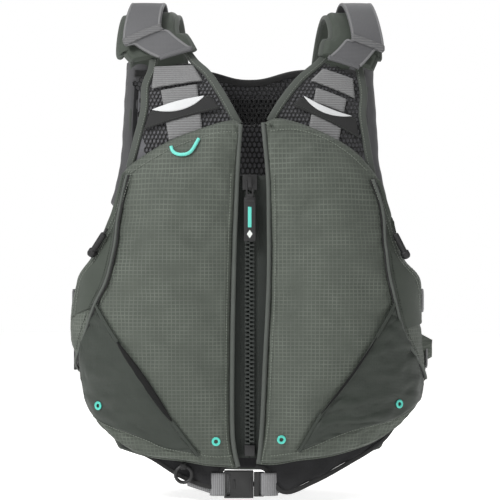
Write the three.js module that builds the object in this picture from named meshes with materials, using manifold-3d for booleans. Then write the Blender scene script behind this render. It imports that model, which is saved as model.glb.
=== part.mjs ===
// Paddling life jacket with a front zip, in millimetres. +Z is up, the front faces -Y, and the wearer's
// right side is at -X. The origin is on the torso's axis, at the height of the belt's lower edge.
import * as THREE from "three";
import { mergeVertices } from "three/addons/utils/BufferGeometryUtils.js";
import Module from "manifold-3d";

const wasm = await Module();
wasm.setup();

// Overall size: the vest's width over the sides, its height, and the depth of the torso inside it.
const vestWidth = 374;
const vestHeight = 523;
const torsoDepth = 184;
const shoulderStart = 300; // height at which the torso begins to close in to the shoulders
const torsoRoundness = 2.4; // exponent of the torso's squared-off oval section

// Thicknesses and gaps, from the torso outwards.
const gap = 0.3;
const linerThickness = 1.7;
const coverThickness = 1.2;
const foamFront = 30;
const foamBack = 34;
const foamEdge = 11;
const meshThickness = 2.4;
const webThickness = 1.6;
const trimThickness = 0.9;
const yokeThickness = 9;

// Standard hardware.
const beltWidth = 25;
const beltFoot = 2.2; // height of the belt's lower edge
const sideWebWidth = 25;
const pipingRadius = 2;
const toothPitch = 4.4;
const toothThickness = 3;
const chainWidth = 11.6;
const zipLength = 284;
const sliderLength = 16;
const pullLength = 62;
const pullWidth = 12;
const ringRadius = 8.6;
const ringWire = 1.9;
const grommetRadius = 4.7;
const gripLength = 28;
const loopDiameter = 3.6;

// The outlines below are drawn for a vest and a belt of the first sizes, and grow with the real ones.
const drawnWidth = 374;
const drawnHeight = 523;
const drawnBelt = { foot: 2.2, width: 25, top: 27.2 };
const wide = vestWidth / drawnWidth;
const tall = vestHeight / drawnHeight;

// A drawn height on the real vest: what is above the belt stretches to the top, and keeps clear of it.
function raised(height) {
  const above = height - drawnBelt.top;
  const beltTop = beltFoot + beltWidth;
  const stretch = (vestHeight - beltTop) / (drawnHeight - drawnBelt.top);
  return beltTop + above * (above > 0 ? stretch : beltWidth / drawnBelt.width);
}

// ---- Torso form ----
const sideFoam = 16; // the layers' thickness where the vest is widest
const torsoHalfWidth = vestWidth / 2 - sideFoam - gap;
const torsoHalfDepth = torsoDepth / 2;
const domeStart = shoulderStart * tall;
const shoulderTop = vestHeight - yokeThickness - 2 * webThickness - 6 * gap;
const domeRun = 240; // travel from the start of the shoulder curve to its top
const overRun = 2 * (domeStart + domeRun); // travel from the front's bottom over to the back's bottom
const rightAngle = Math.PI / 2;

const power = (value, exponent) => Math.sign(value) * Math.abs(value) ** exponent;

// A point of the torso: turn goes round it from the front's middle, run goes up the front and over.
function torso(turn, run) {
  const exponent = 2 / torsoRoundness;
  const x = torsoHalfWidth * power(Math.sin(turn), exponent);
  const y = -torsoHalfDepth * power(Math.cos(turn), exponent);
  if (run <= domeStart) return new THREE.Vector3(x, y, run);
  if (run >= overRun - domeStart) return new THREE.Vector3(x, -y, overRun - run);
  const lean = (rightAngle * (run - domeStart)) / domeRun;
  const z = domeStart + (shoulderTop - domeStart) * Math.sin(lean);
  return new THREE.Vector3(x, y * Math.cos(lean), z);
}

// The torso's surface moved out by a distance.
function outside(turn, run, distance) {
  const step = 0.002;
  const across = torso(turn + step, run).sub(torso(turn - step, run));
  const along = torso(turn, run + 1).sub(torso(turn, run - 1));
  const normal = along.cross(across).normalize().negate();
  return torso(turn, run).addScaledVector(normal, distance);
}

// The turn and run of the point that is seen at x, z from the front, or from behind it.
function seen([drawnX, drawnZ, back = false]) {
  const x = drawnX * wide;
  const z = raised(drawnZ);
  const sign = Math.sign(x) || 1;
  let turn = Math.min(1.5, (Math.abs(x) / (torsoHalfWidth + sideFoam)) * 1.2);
  let run = Math.min(z, domeStart + domeRun * 0.9);
  const small = 0.001;
  for (let i = 0; i < 40; i += 1) {
    const here = outside(turn, run, sideFoam);
    const sideways = outside(turn + small, run, sideFoam).sub(here).divideScalar(small);
    const upwards = outside(turn, run + small * 100, sideFoam).sub(here).divideScalar(small * 100);
    const errorX = Math.abs(x) - here.x;
    const errorZ = z - here.z;
    const scale = sideways.x * upwards.z - sideways.z * upwards.x || 1;
    turn += THREE.MathUtils.clamp((errorX * upwards.z - errorZ * upwards.x) / scale, -0.2, 0.2);
    run += THREE.MathUtils.clamp((errorZ * sideways.x - errorX * sideways.z) / scale, -25, 25);
    turn = THREE.MathUtils.clamp(turn, 0, rightAngle);
    run = THREE.MathUtils.clamp(run, -20, domeStart + domeRun);
  }
  return new THREE.Vector2(sign * turn, back ? overRun - run : run);
}

// ---- Meshes ----
const vest = new THREE.Group();

function paint(color, roughness, metalness = 0) {
  return new THREE.MeshStandardMaterial({ color, roughness, metalness });
}

function add(name, geometry, material, group = vest) {
  const mesh = new THREE.Mesh(geometry, material);
  mesh.name = name;
  group.add(mesh);
  return mesh;
}

const ripstop = paint(0x585f57, 0.8);
const plainCloth = paint(0x3f443f, 0.7);
const backCloth = paint(0x4c4c4e, 0.7);
const meshCloth = paint(0x1b1b1c, 0.9);
const foamGrey = paint(0x8a8a8a, 0.9);
const webbing = paint(0x8e8e8e, 0.75);
const smoothWebbing = paint(0x6f6f70, 0.6);
const pipingCord = paint(0x77797a, 0.6);
const reflective = paint(0xd9d9d9, 0.4);
const blackTape = paint(0x222222, 0.8);
const blackPlastic = paint(0x222224, 0.45);
const tealCord = paint(0x5fc7b8, 0.6);
const tealMetal = paint(0x5fc7b8, 0.35, 0.4);

function closed(positions, faces) {
  const geometry = new THREE.BufferGeometry();
  geometry.setAttribute("position", new THREE.Float32BufferAttribute(positions, 3));
  geometry.setIndex(faces);
  return geometry;
}

// A closed slab between an inner and an outer grid of points.
function slab(inner, outer) {
  const rows = inner.length;
  const columns = inner[0].length;
  const positions = [...inner.flat(), ...outer.flat()].flatMap((point) => point.toArray());
  const at = (layer, row, column) => layer * rows * columns + row * columns + column;
  const faces = [];
  const quad = (a, b, c, d) => faces.push(a, b, c, a, c, d);
  for (let row = 0; row < rows - 1; row += 1) {
    for (let column = 0; column < columns - 1; column += 1) {
      const next = [row + 1, column + 1];
      quad(at(1, row, column), at(1, row, next[1]), at(1, ...next), at(1, next[0], column));
      quad(at(0, row, column), at(0, next[0], column), at(0, ...next), at(0, row, next[1]));
    }
  }
  const rim = [];
  for (let column = 0; column < columns - 1; column += 1) rim.push([0, column]);
  for (let row = 0; row < rows - 1; row += 1) rim.push([row, columns - 1]);
  for (let column = columns - 1; column > 0; column -= 1) rim.push([rows - 1, column]);
  for (let row = rows - 1; row > 0; row -= 1) rim.push([row, 0]);
  rim.forEach((here, index) => {
    const there = rim[(index + 1) % rim.length];
    quad(at(1, ...here), at(0, ...here), at(0, ...there), at(1, ...there));
  });
  return facingOut(closed(positions, faces));
}

// Turns every face round where the volume comes out negative.
function facingOut(geometry) {
  const position = geometry.getAttribute("position");
  const index = geometry.index.array;
  const corner = (i) => new THREE.Vector3().fromBufferAttribute(position, index[i]);
  let volume = 0;
  for (let i = 0; i < index.length; i += 3) {
    volume += corner(i).dot(corner(i + 1).cross(corner(i + 2)));
  }
  if (volume < 0) {
    for (let i = 0; i < index.length; i += 3) {
      [index[i + 1], index[i + 2]] = [index[i + 2], index[i + 1]];
    }
  }
  return geometry;
}

// A smooth edge through the points that an outline names.
function edge(points, side = 1) {
  const placed = points.map(([x, z, back]) => seen([x * side, z, back]));
  if (placed.length === 2) return new THREE.LineCurve(...placed);
  return new THREE.SplineCurve(placed);
}

// The turn and run inside four edges: from and to run upwards, low and high run from from to to.
function patch({ from, to, low, high }, across, up) {
  const corner = { a: low.getPoint(0), b: low.getPoint(1), c: high.getPoint(0), d: high.getPoint(1) };
  const sum = (...terms) => {
    const total = new THREE.Vector2();
    terms.forEach(([point, weight]) => total.addScaledVector(point, weight));
    return total;
  };
  return sum(
    [from.getPoint(up), 1 - across],
    [to.getPoint(up), across],
    [low.getPoint(across), 1 - up],
    [high.getPoint(across), up],
    [corner.a, -(1 - across) * (1 - up)],
    [corner.b, -across * (1 - up)],
    [corner.c, -(1 - across) * up],
    [corner.d, -across * up],
  );
}

// How far across and up inside four edges a place lies.
function within(edges, place) {
  const small = 0.001;
  const found = new THREE.Vector2(0.5, 0.5);
  for (let i = 0; i < 20; i += 1) {
    const here = patch(edges, found.x, found.y);
    const right = patch(edges, found.x + small, found.y).sub(here).divideScalar(small);
    const upward = patch(edges, found.x, found.y + small).sub(here).divideScalar(small);
    const miss = place.clone().sub(here);
    const scale = right.cross(upward) || 1;
    found.x = THREE.MathUtils.clamp(found.x + miss.cross(upward) / scale, 0, 1);
    found.y = THREE.MathUtils.clamp(found.y + right.cross(miss) / scale, 0, 1);
  }
  return found;
}

// A layer over a patch, between two heights above the torso. A height is a number or goes by place.
// Where a skirt is given, the layer hangs on down to it.
function layer(edges, columns, rows, inner, outer, skirt = null) {
  const height = (value, place) => (typeof value === "function" ? value(place) : value);
  const shares = Array.from({ length: columns + 1 }, (_, column) => column / columns);
  const rowOf = (up) => shares.map((share) => patch(edges, share, up));
  const places = Array.from({ length: rows + 1 }, (_, row) => rowOf(row / rows));
  if (skirt) places.unshift(shares.map((share) => skirt.getPoint(share)));
  const lifted = (value) => (place) => outside(place.x, place.y, height(value, place));
  const grid = (value) => places.map((row) => row.map(lifted(value)));
  return slab(grid(inner), grid(outer));
}

// Points along an edge curve, at a height above the torso.
function along(curve, height, count) {
  return curve.getSpacedPoints(count).map((place) => {
    return outside(place.x, place.y, typeof height === "function" ? height(place) : height);
  });
}

// A tube or strap of a given section along points in space.
function sweep(points, section, steps) {
  const path = new THREE.CatmullRomCurve3(points);
  return new THREE.ExtrudeGeometry(section, { steps, bevelEnabled: false, extrudePath: path });
}

function circle(radius, sides) {
  const shape = new THREE.Shape();
  for (let i = 0; i < sides; i += 1) {
    const angle = (2 * Math.PI * i) / sides;
    const point = [radius * Math.cos(angle), radius * Math.sin(angle)];
    if (i === 0) shape.moveTo(...point);
    else shape.lineTo(...point);
  }
  shape.closePath();
  return shape;
}

function box(width, depth, height, [x, y, z]) {
  return new THREE.BoxGeometry(width, depth, height).translate(x, y, z);
}

function solid(geometry) {
  const bare = geometry.clone();
  bare.deleteAttribute("normal");
  bare.deleteAttribute("uv");
  const merged = mergeVertices(bare, 1e-3);
  const vertProperties = new Float32Array(merged.getAttribute("position").array);
  const triVerts = new Uint32Array(merged.index.array);
  return new wasm.Manifold(new wasm.Mesh({ numProp: 3, vertProperties, triVerts }));
}

function fromSolid(manifold) {
  const { vertProperties, triVerts } = manifold.getMesh();
  return closed(Array.from(vertProperties), Array.from(triVerts));
}

// A soft piece laid on others: what would reach into the room that they need is taken away.
function laidOn(piece, rooms, clear = 2 * gap) {
  const steps = clear ? [-clear, clear] : [];
  const shifts = [[0, 0, 0], ...steps.flatMap((step) => [[step, 0, 0], [0, step, 0], [0, 0, step]])];
  let left = solid(piece);
  rooms.map(solid).forEach((room) => {
    shifts.forEach((shift) => {
      left = left.subtract(room.translate(shift));
    });
  });
  const bodies = left.decompose().sort((a, b) => b.volume() - a.volume());
  return fromSolid(bodies[0]);
}

const join = (...parts) => fromSolid(parts.map(solid).reduce((whole, part) => whole.add(part)));
const cut = (body, ...tools) =>
  fromSolid(tools.map(solid).reduce((whole, tool) => whole.subtract(tool), solid(body)));

// ---- Foam ----
const foamStart = linerThickness + gap;
const crown = (share) => 1 - Math.abs(2 * share - 1) ** 2.4;

// The height of the foam's outer face over a place, thin at the edges and full in the middle.
function foamTop(edges, thickness) {
  return (place) => {
    const { x, y } = within(edges, place);
    return foamStart + foamEdge + (thickness - foamEdge) * crown(x) * crown(y);
  };
}

const above = (height, extra) => (place) => height(place) + extra;

// ---- Front panels ----
// Outlines as distances from the middle and heights, from the centre outwards or upwards.
const fronts = {
  right: {
    centre: [[13, 34], [19, 70], [19, 161], [17, 261], [14, 340], [10, 394]],
    outer: [[165, 88], [177, 106], [183, 145], [187, 184], [183, 230], [168, 254], [150, 295], [136, 345]],
    hem: [[13, 34], [45, 36], [70, 40], [116, 46], [144, 62], [165, 88]],
    neckline: [[10, 394], [20, 399], [53, 390], [88, 376], [124, 355], [136, 345]],
    piping: [[181, 132], [167, 158], [153, 202], [141, 231], [135, 265], [134, 298], [128, 341]],
    mouth: [[53, 46], [79, 82], [107, 127], [131, 166], [150, 200]],
    meshInner: [[12, 397], [28, 427], [45, 454], [59, 468]],
    meshOuter: [[134, 350], [126, 378], [117, 412], [115, 440], [108, 458]],
    anchor: [[51, 446], [61, 463], [107, 437], [104, 461]],
    web: [[51, 392], [57, 442], [88, 379], [97, 435]],
    band: [[31, 414], [43, 429], [116, 391], [108, 411]],
    crescent: [[49, 427.5], [74, 412.5], [106, 412.5], [78, 422.5]],
    strap: [[61, 478], [74, 493], [84, 507], [97, 467], [113, 479], [126, 494]],
    yoke: [[56, 471], [68, 496], [80, 510], [134, 458], [140, 474], [143, 487]],
    loop: [[82, 370], [79, 364], [71, 361], [61, 364], [53, 378]],
    skirt: [[13, 33], [30, 31], [45, 20], [85, 33], [138, 57], [164, 86]],
    grommets: [[35, 61], [152, 97]],
    pull: [[142, 284], [160, 252]],
    pullHeight: 6.1,
  },
  left: {
    centre: [[7, 38], [14, 80], [17, 144], [21, 230], [21, 300], [20, 340], [15, 396]],
    outer: [[172, 88], [185, 108], [191, 140], [188, 190], [183, 228], [166, 250], [153, 295], [140, 336]],
    hem: [[7, 38], [26, 37], [51, 41], [85, 45], [117, 53], [142, 63], [172, 88]],
    neckline: [[15, 396], [32, 401], [64, 392], [98, 376], [120, 360], [140, 336]],
    piping: [[181, 124], [165, 150], [152, 177], [142, 215], [136, 250], [137, 300], [128, 336]],
    mouth: [[51, 50], [73, 91], [101, 129], [125, 171], [143, 204]],
    meshInner: [[22, 401], [35, 423], [54, 448], [76, 468]],
    meshOuter: [[137, 341], [130, 375], [125, 407], [126, 430], [123, 450]],
    anchor: [[66, 446], [79, 459], [115, 426], [113, 447]],
    web: [[64, 392], [72, 438], [97, 377], [106, 425]],
    band: [[46, 417], [54, 427], [120, 381], [116, 404]],
    crescent: [[58.5, 427], [80, 409.5], [111, 405.5], [84, 415]],
    strap: [[83, 468], [91, 483], [97, 498], [118, 457], [126, 474], [133, 488]],
    yoke: [[75, 465], [78, 486], [88, 506], [135, 447], [139, 470], [141, 486]],
    pull: [[143, 284], [158, 252]],
    pullHeight: 7.2,
    skirt: [[7, 36], [22, 31], [38, 14], [68, 26], [109, 42], [150, 64], [171, 86]],
    grommets: [[33, 63], [150, 99]],
  },
};

const pocketEdges = (outline, side) => {
  const inset = ([x, z]) => [x - 3, z + 3];
  const foot = outline.hem.slice(-4).map(inset);
  const reach = foot[0];
  const rise = outline.outer.slice(1, 2).map(inset);
  const top = [outline.piping[2][0] + 1, outline.piping[2][1] - 6];
  return {
    from: edge([[reach[0] - 8, reach[1] + 5], ...outline.mouth.slice(1)], side),
    to: edge([reach, ...foot.slice(1), ...rise, outline.piping[1], top], side),
    low: edge([[reach[0] - 8, reach[1] + 5], reach], side),
    high: edge([outline.mouth.at(-1), top], side),
  };
};

// Joins the ends of four outlines into the four edges of a patch.
function fourEdges(inner, outer, side, low = [inner[0], outer[0]], high = [inner.at(-1), outer.at(-1)]) {
  return { from: edge(inner, side), to: edge(outer, side), low: edge(low, side), high: edge(high, side) };
}

const meshTop = meshThickness + gap;
const webTop = meshTop + webThickness + gap;
const bandTop = webTop + trimThickness + gap;

const sink = 2; // how far a soft piece is begun inside the one below, before that one is cut away

function frontPanel(name, side, outline) {
  const edges = fourEdges(outline.centre, outline.outer, side, outline.hem, outline.neckline);
  const foam = foamTop(edges, foamFront);
  const coverFoot = above(foam, gap);
  const coverTop = above(foam, gap + coverThickness);
  const skirt = edge(outline.skirt, side);
  const lining = layer(edges, 8, 10, 0, linerThickness, skirt);
  add(`front_liner_${name}`, lining, meshCloth);
  add(`front_foam_${name}`, layer(edges, 8, 10, foamStart, foam), foamGrey);
  add(`front_cover_${name}`, layer(edges, 8, 10, coverFoot, coverTop), ripstop);
  const pocketFoot = above(coverTop, -sink);
  const pocketTop = above(coverTop, 2 * gap + coverThickness);
  const pocket = pocketEdges(outline, side);
  const room = [layer(edges, 8, 10, 0, above(coverTop, gap), skirt)];
  add(`hand_pocket_${name}`, laidOn(layer(pocket, 5, 9, pocketFoot, pocketTop), room, 0), plainCloth);
  const wingInner = outline.piping.slice(2);
  const wingOuter = outline.outer.slice(3);
  const inset = ([x, z]) => [x - 1.5, z - 1];
  const wing = fourEdges(wingInner, wingOuter.map(inset), side);
  const wingPanel = laidOn(layer(wing, 4, 8, pocketFoot, pocketTop), room, 0);
  add(`wing_panel_${name}`, wingPanel, plainCloth);
  const pipingHeight = above(pocketTop, 2 * gap + pipingRadius);
  const route = along(edge(outline.piping, side), pipingHeight, 14);
  add(`piping_${name}`, sweep(route, circle(pipingRadius, 8), 20), pipingCord);
  const strapRoom = layer(edges, 8, 10, 0, above(pocketTop, gap));
  return { coverTop, pocketTop, lining, room, strapRoom, wingPanel };
}

function upperMesh(name, side, outline, room) {
  const seam = outline.neckline.slice(1, -1);
  const foot = [outline.meshInner[0], ...seam, outline.meshOuter[0]];
  const mesh = fourEdges(outline.meshInner, outline.meshOuter, side, foot);
  const meshPanel = layer(mesh, 6, 6, 0, meshThickness);
  add(`shoulder_mesh_${name}`, laidOn(meshPanel, room), meshCloth);
  const quad = ([a, b, c, d]) => fourEdges([a, b], [c, d], side);
  const web = layer(quad(outline.web), 3, 4, meshTop, meshTop + webThickness);
  add(`shoulder_web_${name}`, laidOn(web, room), webbing);
  const band = layer(quad(outline.band), 7, 2, webTop, webTop + trimThickness);
  add(`shoulder_band_${name}`, band, blackTape);
  const [inner, belly, outer, brow] = outline.crescent;
  const lens = {
    from: edge([inner, [inner[0] + 0.5, inner[1] + 0.8]], side),
    to: edge([outer, [outer[0] - 0.5, outer[1] + 0.8]], side),
    low: edge([inner, belly, outer], side),
    high: edge([[inner[0] + 0.5, inner[1] + 0.8], brow, [outer[0] - 0.5, outer[1] + 0.8]], side),
  };
  const patchTop = bandTop + trimThickness;
  add(`reflective_patch_${name}`, layer(lens, 6, 2, bandTop, patchTop), reflective);
  const anchor = layer(quad(outline.anchor), 4, 2, meshTop, meshTop + 2 * webThickness);
  add(`strap_anchor_${name}`, anchor, webbing);
}

// ---- Shoulders ----
const yokeStart = meshTop;
const yokeEnd = yokeStart + yokeThickness;
const strapStart = yokeEnd + gap;

// The front points of an edge, carried over the shoulder and down the back to a height.
function overShoulder(points, backX, backEnd, side) {
  const front = points.map(([x, z]) => seen([x * side, z]));
  const heights = [(points[0][1] + backEnd) / 2, backEnd];
  const back = heights.map((z) => seen([backX * side, z, true]));
  return new THREE.SplineCurve([...front, ...back]);
}

function acrossEnds(from, to) {
  return [0, 1].map((end) => new THREE.LineCurve(from.getPoint(end), to.getPoint(end)));
}

function shoulder(name, side, outline, rear) {
  const yokeFrom = overShoulder(outline.yoke.slice(0, 3), 72, yokeBackEnd, side);
  const yokeTo = overShoulder(outline.yoke.slice(3), 132, yokeBackEnd, side);
  const [yokeLow, yokeHigh] = acrossEnds(yokeFrom, yokeTo);
  const yoke = { from: yokeFrom, to: yokeTo, low: yokeLow, high: yokeHigh };
  const yokePad = layer(yoke, 4, 14, yokeStart, yokeEnd);
  add(`shoulder_yoke_${name}`, laidOn(yokePad, [rear.neckRoom, rear.strapRoom]), ripstop);
  const yokeRoom = layer(yoke, 4, 14, 0, yokeEnd + gap);
  const strapFrom = overShoulder(outline.strap.slice(0, 3), 82, strapBackEnd, side);
  const strapTo = overShoulder(outline.strap.slice(3), 122, strapBackEnd, side);
  const [strapLow, strapHigh] = acrossEnds(strapFrom, strapTo);
  const strap = { from: strapFrom, to: strapTo, low: strapLow, high: strapHigh };
  const thick = strapStart + 2 * webThickness;
  const loop = layer(strap, 3, 14, strapStart - 1, thick);
  add(`shoulder_strap_${name}`, laidOn(loop, [yokeRoom], 0), smoothWebbing);
}

// ---- Back ----
const yokeBackEnd = 452;
const strapBackEnd = 462;
const backOutline = {
  foot: [[-150, 44, true], [-80, 24, true], [0, 18, true], [80, 24, true], [150, 44, true]],
  waist: [[150, 44], [168, 90], [174, 160], [170, 235], [150, 300], [138, 350], [137, 400], [133, 446]],
  shoulders: [[-133, 446, true], [-90, 420, true], [0, 404, true], [90, 420, true], [133, 446, true]],
};

function back() {
  const behind = (points) => points.map(([x, z]) => [x, z, true]);
  const edges = {
    from: edge(behind(backOutline.waist), -1),
    to: edge(behind(backOutline.waist)),
    low: edge(backOutline.foot),
    high: edge(backOutline.shoulders),
  };
  const foam = foamTop(edges, foamBack);
  const coverTop = above(foam, gap + coverThickness);
  const lining = layer(edges, 14, 10, 0, linerThickness);
  add("back_liner", lining, meshCloth);
  add("back_foam", layer(edges, 14, 10, foamStart, foam), foamGrey);
  add("back_cover", layer(edges, 14, 10, above(foam, gap), coverTop), backCloth);
  const seam = backOutline.shoulders.map(([x, z]) => [x, z + 0.9, true]);
  const neck = {
    from: edge([seam[0], [-132, 462, true]]),
    to: edge([seam.at(-1), [132, 462, true]]),
    low: edge(seam),
    high: edge([[-132, 462, true], [-58, 464, true], [0, 453, true], [58, 464, true], [132, 462, true]]),
  };
  add("neck_mesh", layer(neck, 12, 3, 0, meshThickness), meshCloth);
  const strapRoom = layer(edges, 14, 10, 0, above(coverTop, gap));
  return { coverTop, lining, strapRoom, neckRoom: layer(neck, 12, 3, -sink, meshTop) };
}

// ---- Sides ----
const sideLap = 0.05; // how far the side cloth goes in behind the panels, as a turn
const sideFoot = -3;
const strapTurns = [1.42, 1.98];
const lockTurn = 1.62;

// The same place of the torso counted round the side from the front, for a place given on the back.
const roundTheSide = (place) => new THREE.Vector2(Math.sign(place.x) * Math.PI - place.x, overRun - place.y);

function strapLock(slotWidth) {
  const frame = box(20, 3, sideWebWidth + 7, [10, 0, 0]);
  const slot = (x) => box(slotWidth, 4, sideWebWidth + 1, [x, 0, 0]);
  return cut(frame, slot(5), slot(15));
}

function sides(name, side, outline, front, rear) {
  const lap = sideLap * side;
  const ends = outline.outer.slice(1, 5).map(([x, z]) => seen([x * side, z]));
  const fromEdge = new THREE.SplineCurve(ends.map(({ x, y }) => new THREE.Vector2(x - lap, y)));
  const waist = backOutline.waist.slice(1, 4).map(([x, z]) => roundTheSide(seen([x * side, z, true])));
  const toEdge = new THREE.SplineCurve(waist.map(({ x, y }) => new THREE.Vector2(x + lap, y)));
  const [low, high] = acrossEnds(fromEdge, toEdge);
  const panel = { from: fromEdge, to: toEdge, low, high };
  const cloth = layer(panel, 8, 6, sideFoot, sideFoot + coverThickness);
  add(`side_panel_${name}`, laidOn(cloth, [front.lining, rear.lining], gap), backCloth);
  const strapHeight = (extra) => (place) => {
    if (Math.abs(place.x) < rightAngle) return front.pocketTop(place) + extra;
    const behind = new THREE.Vector2(side * Math.PI - place.x, overRun - place.y);
    const beside = new THREE.Vector2(side * rightAngle, place.y);
    return Math.max(front.pocketTop(beside), rear.coverTop(behind)) + extra;
  };
  const straps = { upper: 207 * tall, lower: 147 * tall };
  Object.entries(straps).forEach(([level, middle]) => {
    const column = (turn) => {
      const reach = [middle - sideWebWidth / 2, middle + sideWebWidth / 2];
      return new THREE.LineCurve(...reach.map((run) => new THREE.Vector2(turn * side, run)));
    };
    const [from, to] = strapTurns.map(column);
    const [foot, head] = acrossEnds(from, to);
    const edges = { from, to, low: foot, high: head };
    const strap = layer(edges, 12, 1, strapHeight(-sink), strapHeight(strapRise));
    const rooms = [front.strapRoom, rear.strapRoom, front.wingPanel];
    add(`side_strap_${level}_${name}`, laidOn(strap, rooms), webbing);
    if (level === "upper") return;
    const lockPlace = (turn) => new THREE.Vector2(turn * side, middle);
    const lockHeight = strapHeight(strapRise + gap + 1.5)(lockPlace(lockTurn));
    const at = outside(lockTurn * side, middle, lockHeight);
    const next = outside((lockTurn + 0.1) * side, middle, lockHeight);
    const lock = add(`side_lock_${name}`, strapLock(3.4), blackPlastic);
    lock.position.copy(at);
    lock.rotation.z = Math.atan2(next.y - at.y, next.x - at.x);
  });
}

const strapRise = gap + webThickness;

// ---- Zip ----
const zipBottom = 57;
const zipTop = zipBottom + zipLength;
const tapeBack = -(torsoHalfDepth + 5);
const tapeThickness = 1.2;
const toothBack = tapeBack - tapeThickness - gap;
const toothFront = toothBack - toothThickness;
const toothWidth = 1.8;
const spineEdge = 2.2;

// An outline of distances across and heights, given thickness from back towards the front.
function upright(points, back, thickness) {
  const shape = new THREE.Shape(points.map(([x, z]) => new THREE.Vector2(x, z)));
  const geometry = new THREE.ExtrudeGeometry(shape, { depth: thickness, bevelEnabled: false });
  return geometry.rotateX(rightAngle).translate(0, back, 0);
}

function zipHalf(name, side, outline) {
  const reach = edge(outline.centre, side).getSpacedPoints(16);
  const outerEdge = reach
    .map((place) => outside(place.x, place.y, foamStart + 4))
    .filter((point) => point.z > zipBottom - 14 && point.z < zipTop)
    .map((point) => [point.x - side * gap * 2, point.z]);
  const inner = [
    [side * gap, zipTop],
    [side * gap, zipBottom - 12],
  ];
  add(`zip_tape_${name}`, upright([...outerEdge, ...inner], tapeBack, tapeThickness), meshCloth);
  const count = Math.floor(zipLength / toothPitch);
  const start = zipBottom + (side > 0 ? toothPitch / 2 : 0);
  const comb = [];
  for (let i = 0; i < count; i += 1) {
    const foot = start + i * toothPitch + gap;
    comb.push([side * spineEdge, foot], [side * -(spineEdge - gap), foot]);
    comb.push([side * -(spineEdge - gap), foot + toothWidth], [side * spineEdge, foot + toothWidth]);
  }
  const end = start + count * toothPitch;
  const spine = [
    [side * spineEdge, end],
    [(side * chainWidth) / 2, end],
    [(side * chainWidth) / 2, zipBottom],
    [side * spineEdge, zipBottom],
  ];
  add(`zip_teeth_${name}`, upright([...comb, ...spine], toothBack, toothThickness), blackPlastic);
}

const bridgeWidth = 4;
const pinRadius = 1.1;
const sliderFace = toothFront - gap;
const plateThickness = 2.2;
const pinDepth = 3.4;

function zipFittings() {
  const stop = box(chainWidth, 5, 11.6, [0, toothBack - 2.5, zipBottom - gap - 5.8]);
  add("zip_box", stop, blackPlastic);
  const slider = new THREE.Group();
  slider.position.set(0, sliderFace, zipTop - sliderLength / 2);
  vest.add(slider);
  const halfChain = chainWidth / 2 + gap;
  const plate = box(2 * halfChain + 3, plateThickness, sliderLength, [0, -plateThickness / 2, 0]);
  const flange = (side) => box(1.5, toothThickness, sliderLength, [side * (halfChain + 0.75), 1.2, 0]);
  const bridge = box(bridgeWidth, 6, 11, [0, -plateThickness - 2.9, 0]);
  const eye = new THREE.CylinderGeometry(pinRadius + gap, pinRadius + gap, 8, 16).rotateZ(rightAngle);
  eye.translate(0, -plateThickness - pinDepth, 0);
  const body = cut(join(plate, flange(-1), flange(1), bridge), eye);
  add("zip_slider", body, blackPlastic, slider);
  const pin = new THREE.CylinderGeometry(pinRadius, pinRadius, 8.4, 12).rotateZ(rightAngle);
  const arm = (side) => box(1.6, 2.4, 16, [side * (bridgeWidth / 2 + gap + 0.8), 0, -6.8]);
  const neck = box(6.6, 2.4, 4, [0, 0, -14.4]);
  const tab = box(pullWidth, 3, pullLength - 16, [0, 0, -16 - (pullLength - 16) / 2]);
  const pull = add("zip_pull", join(pin, arm(-1), arm(1), neck, tab), blackPlastic, slider);
  pull.position.set(0, -plateThickness - pinDepth, 0);
}

// ---- Belt and its buckle ----
const buckleHeight = beltWidth + 4;
const buckleDepth = 9;
const buckleStart = -27; // the socket's outer end
const socketEnd = 4;
const plugEnd = 15;
const beltSink = 1.5; // the belt runs this far behind the liner
const prongPivot = [3.2, beltWidth / 2 - 5.7];

function beltHalf(name, side, lining) {
  const heights = [-beltSink - webThickness, -beltSink];
  const start = side > 0 ? plugEnd + 3 * gap : -buckleStart + 4 * gap;
  const points = (x, foot) => [[x / wide, foot], [x / wide, foot + drawnBelt.width]];
  const near = points(start, drawnBelt.foot);
  const far = points(start + 88, drawnBelt.foot + 10);
  const half = layer(fourEdges(near, far, side), 6, 1, ...heights);
  add(`belt_${name}`, laidOn(half, [lining], 0), webbing);
}

function beltBuckle() {
  const buckle = new THREE.Group();
  buckle.position.set(0, -torsoHalfDepth + 1, beltFoot + beltWidth / 2);
  vest.add(buckle);
  const length = socketEnd - buckleStart;
  const shell = box(length, buckleDepth, buckleHeight, [buckleStart + length / 2, 0, 0]);
  const cavity = box(21, 6, beltWidth - 5, [socketEnd - 10.4, 0, 0]);
  const window = (side) => box(12.5, 6, 8, [-7.25, 0, side * (beltWidth / 2 - 0.5)]);
  const slot = box(3.6, 12, beltWidth - 1, [buckleStart + 4.4, 0, 0]);
  add("buckle_socket", cut(shell, cavity, window(1), window(-1), slot), blackPlastic, buckle);
  const base = box(plugEnd - socketEnd - gap, 8, beltWidth + 1, [(plugEnd + socketEnd + gap) / 2, 0, 0]);
  const barSlot = box(3, 12, beltWidth - 3, [plugEnd - 3.4, 0, 0]);
  const guide = box(18, 3.6, 4.4, [-4, 0, 0]);
  add("buckle_plug", join(cut(base, barSlot), guide), blackPlastic, buckle);
  ["upper", "lower"].forEach((level, index) => {
    const sign = index ? -1 : 1;
    const [pivotX, pivotZ] = prongPivot;
    const arm = [[0.6, -1.4], [0.6, 1.4], [-6.5, 1.6], [-6.8, 6.4], [-13, 6.8], [-15, 1], [-13, -1.4]];
    const shape = arm.map(([x, z]) => [x, z * sign]);
    const prong = add(`buckle_prong_${level}`, upright(shape, 2.4, 4.8), blackPlastic, buckle);
    prong.position.set(pivotX, 0, pivotZ * sign);
  });
}

// ---- Small fittings ----
function turned(profile, sides) {
  return facingOut(new THREE.LatheGeometry(profile.map(([r, y]) => new THREE.Vector2(r, y)), sides));
}

// The way out of the torso at a place.
function outward(place) {
  return outside(place.x, place.y, 10).sub(outside(place.x, place.y, 0)).normalize();
}

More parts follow.
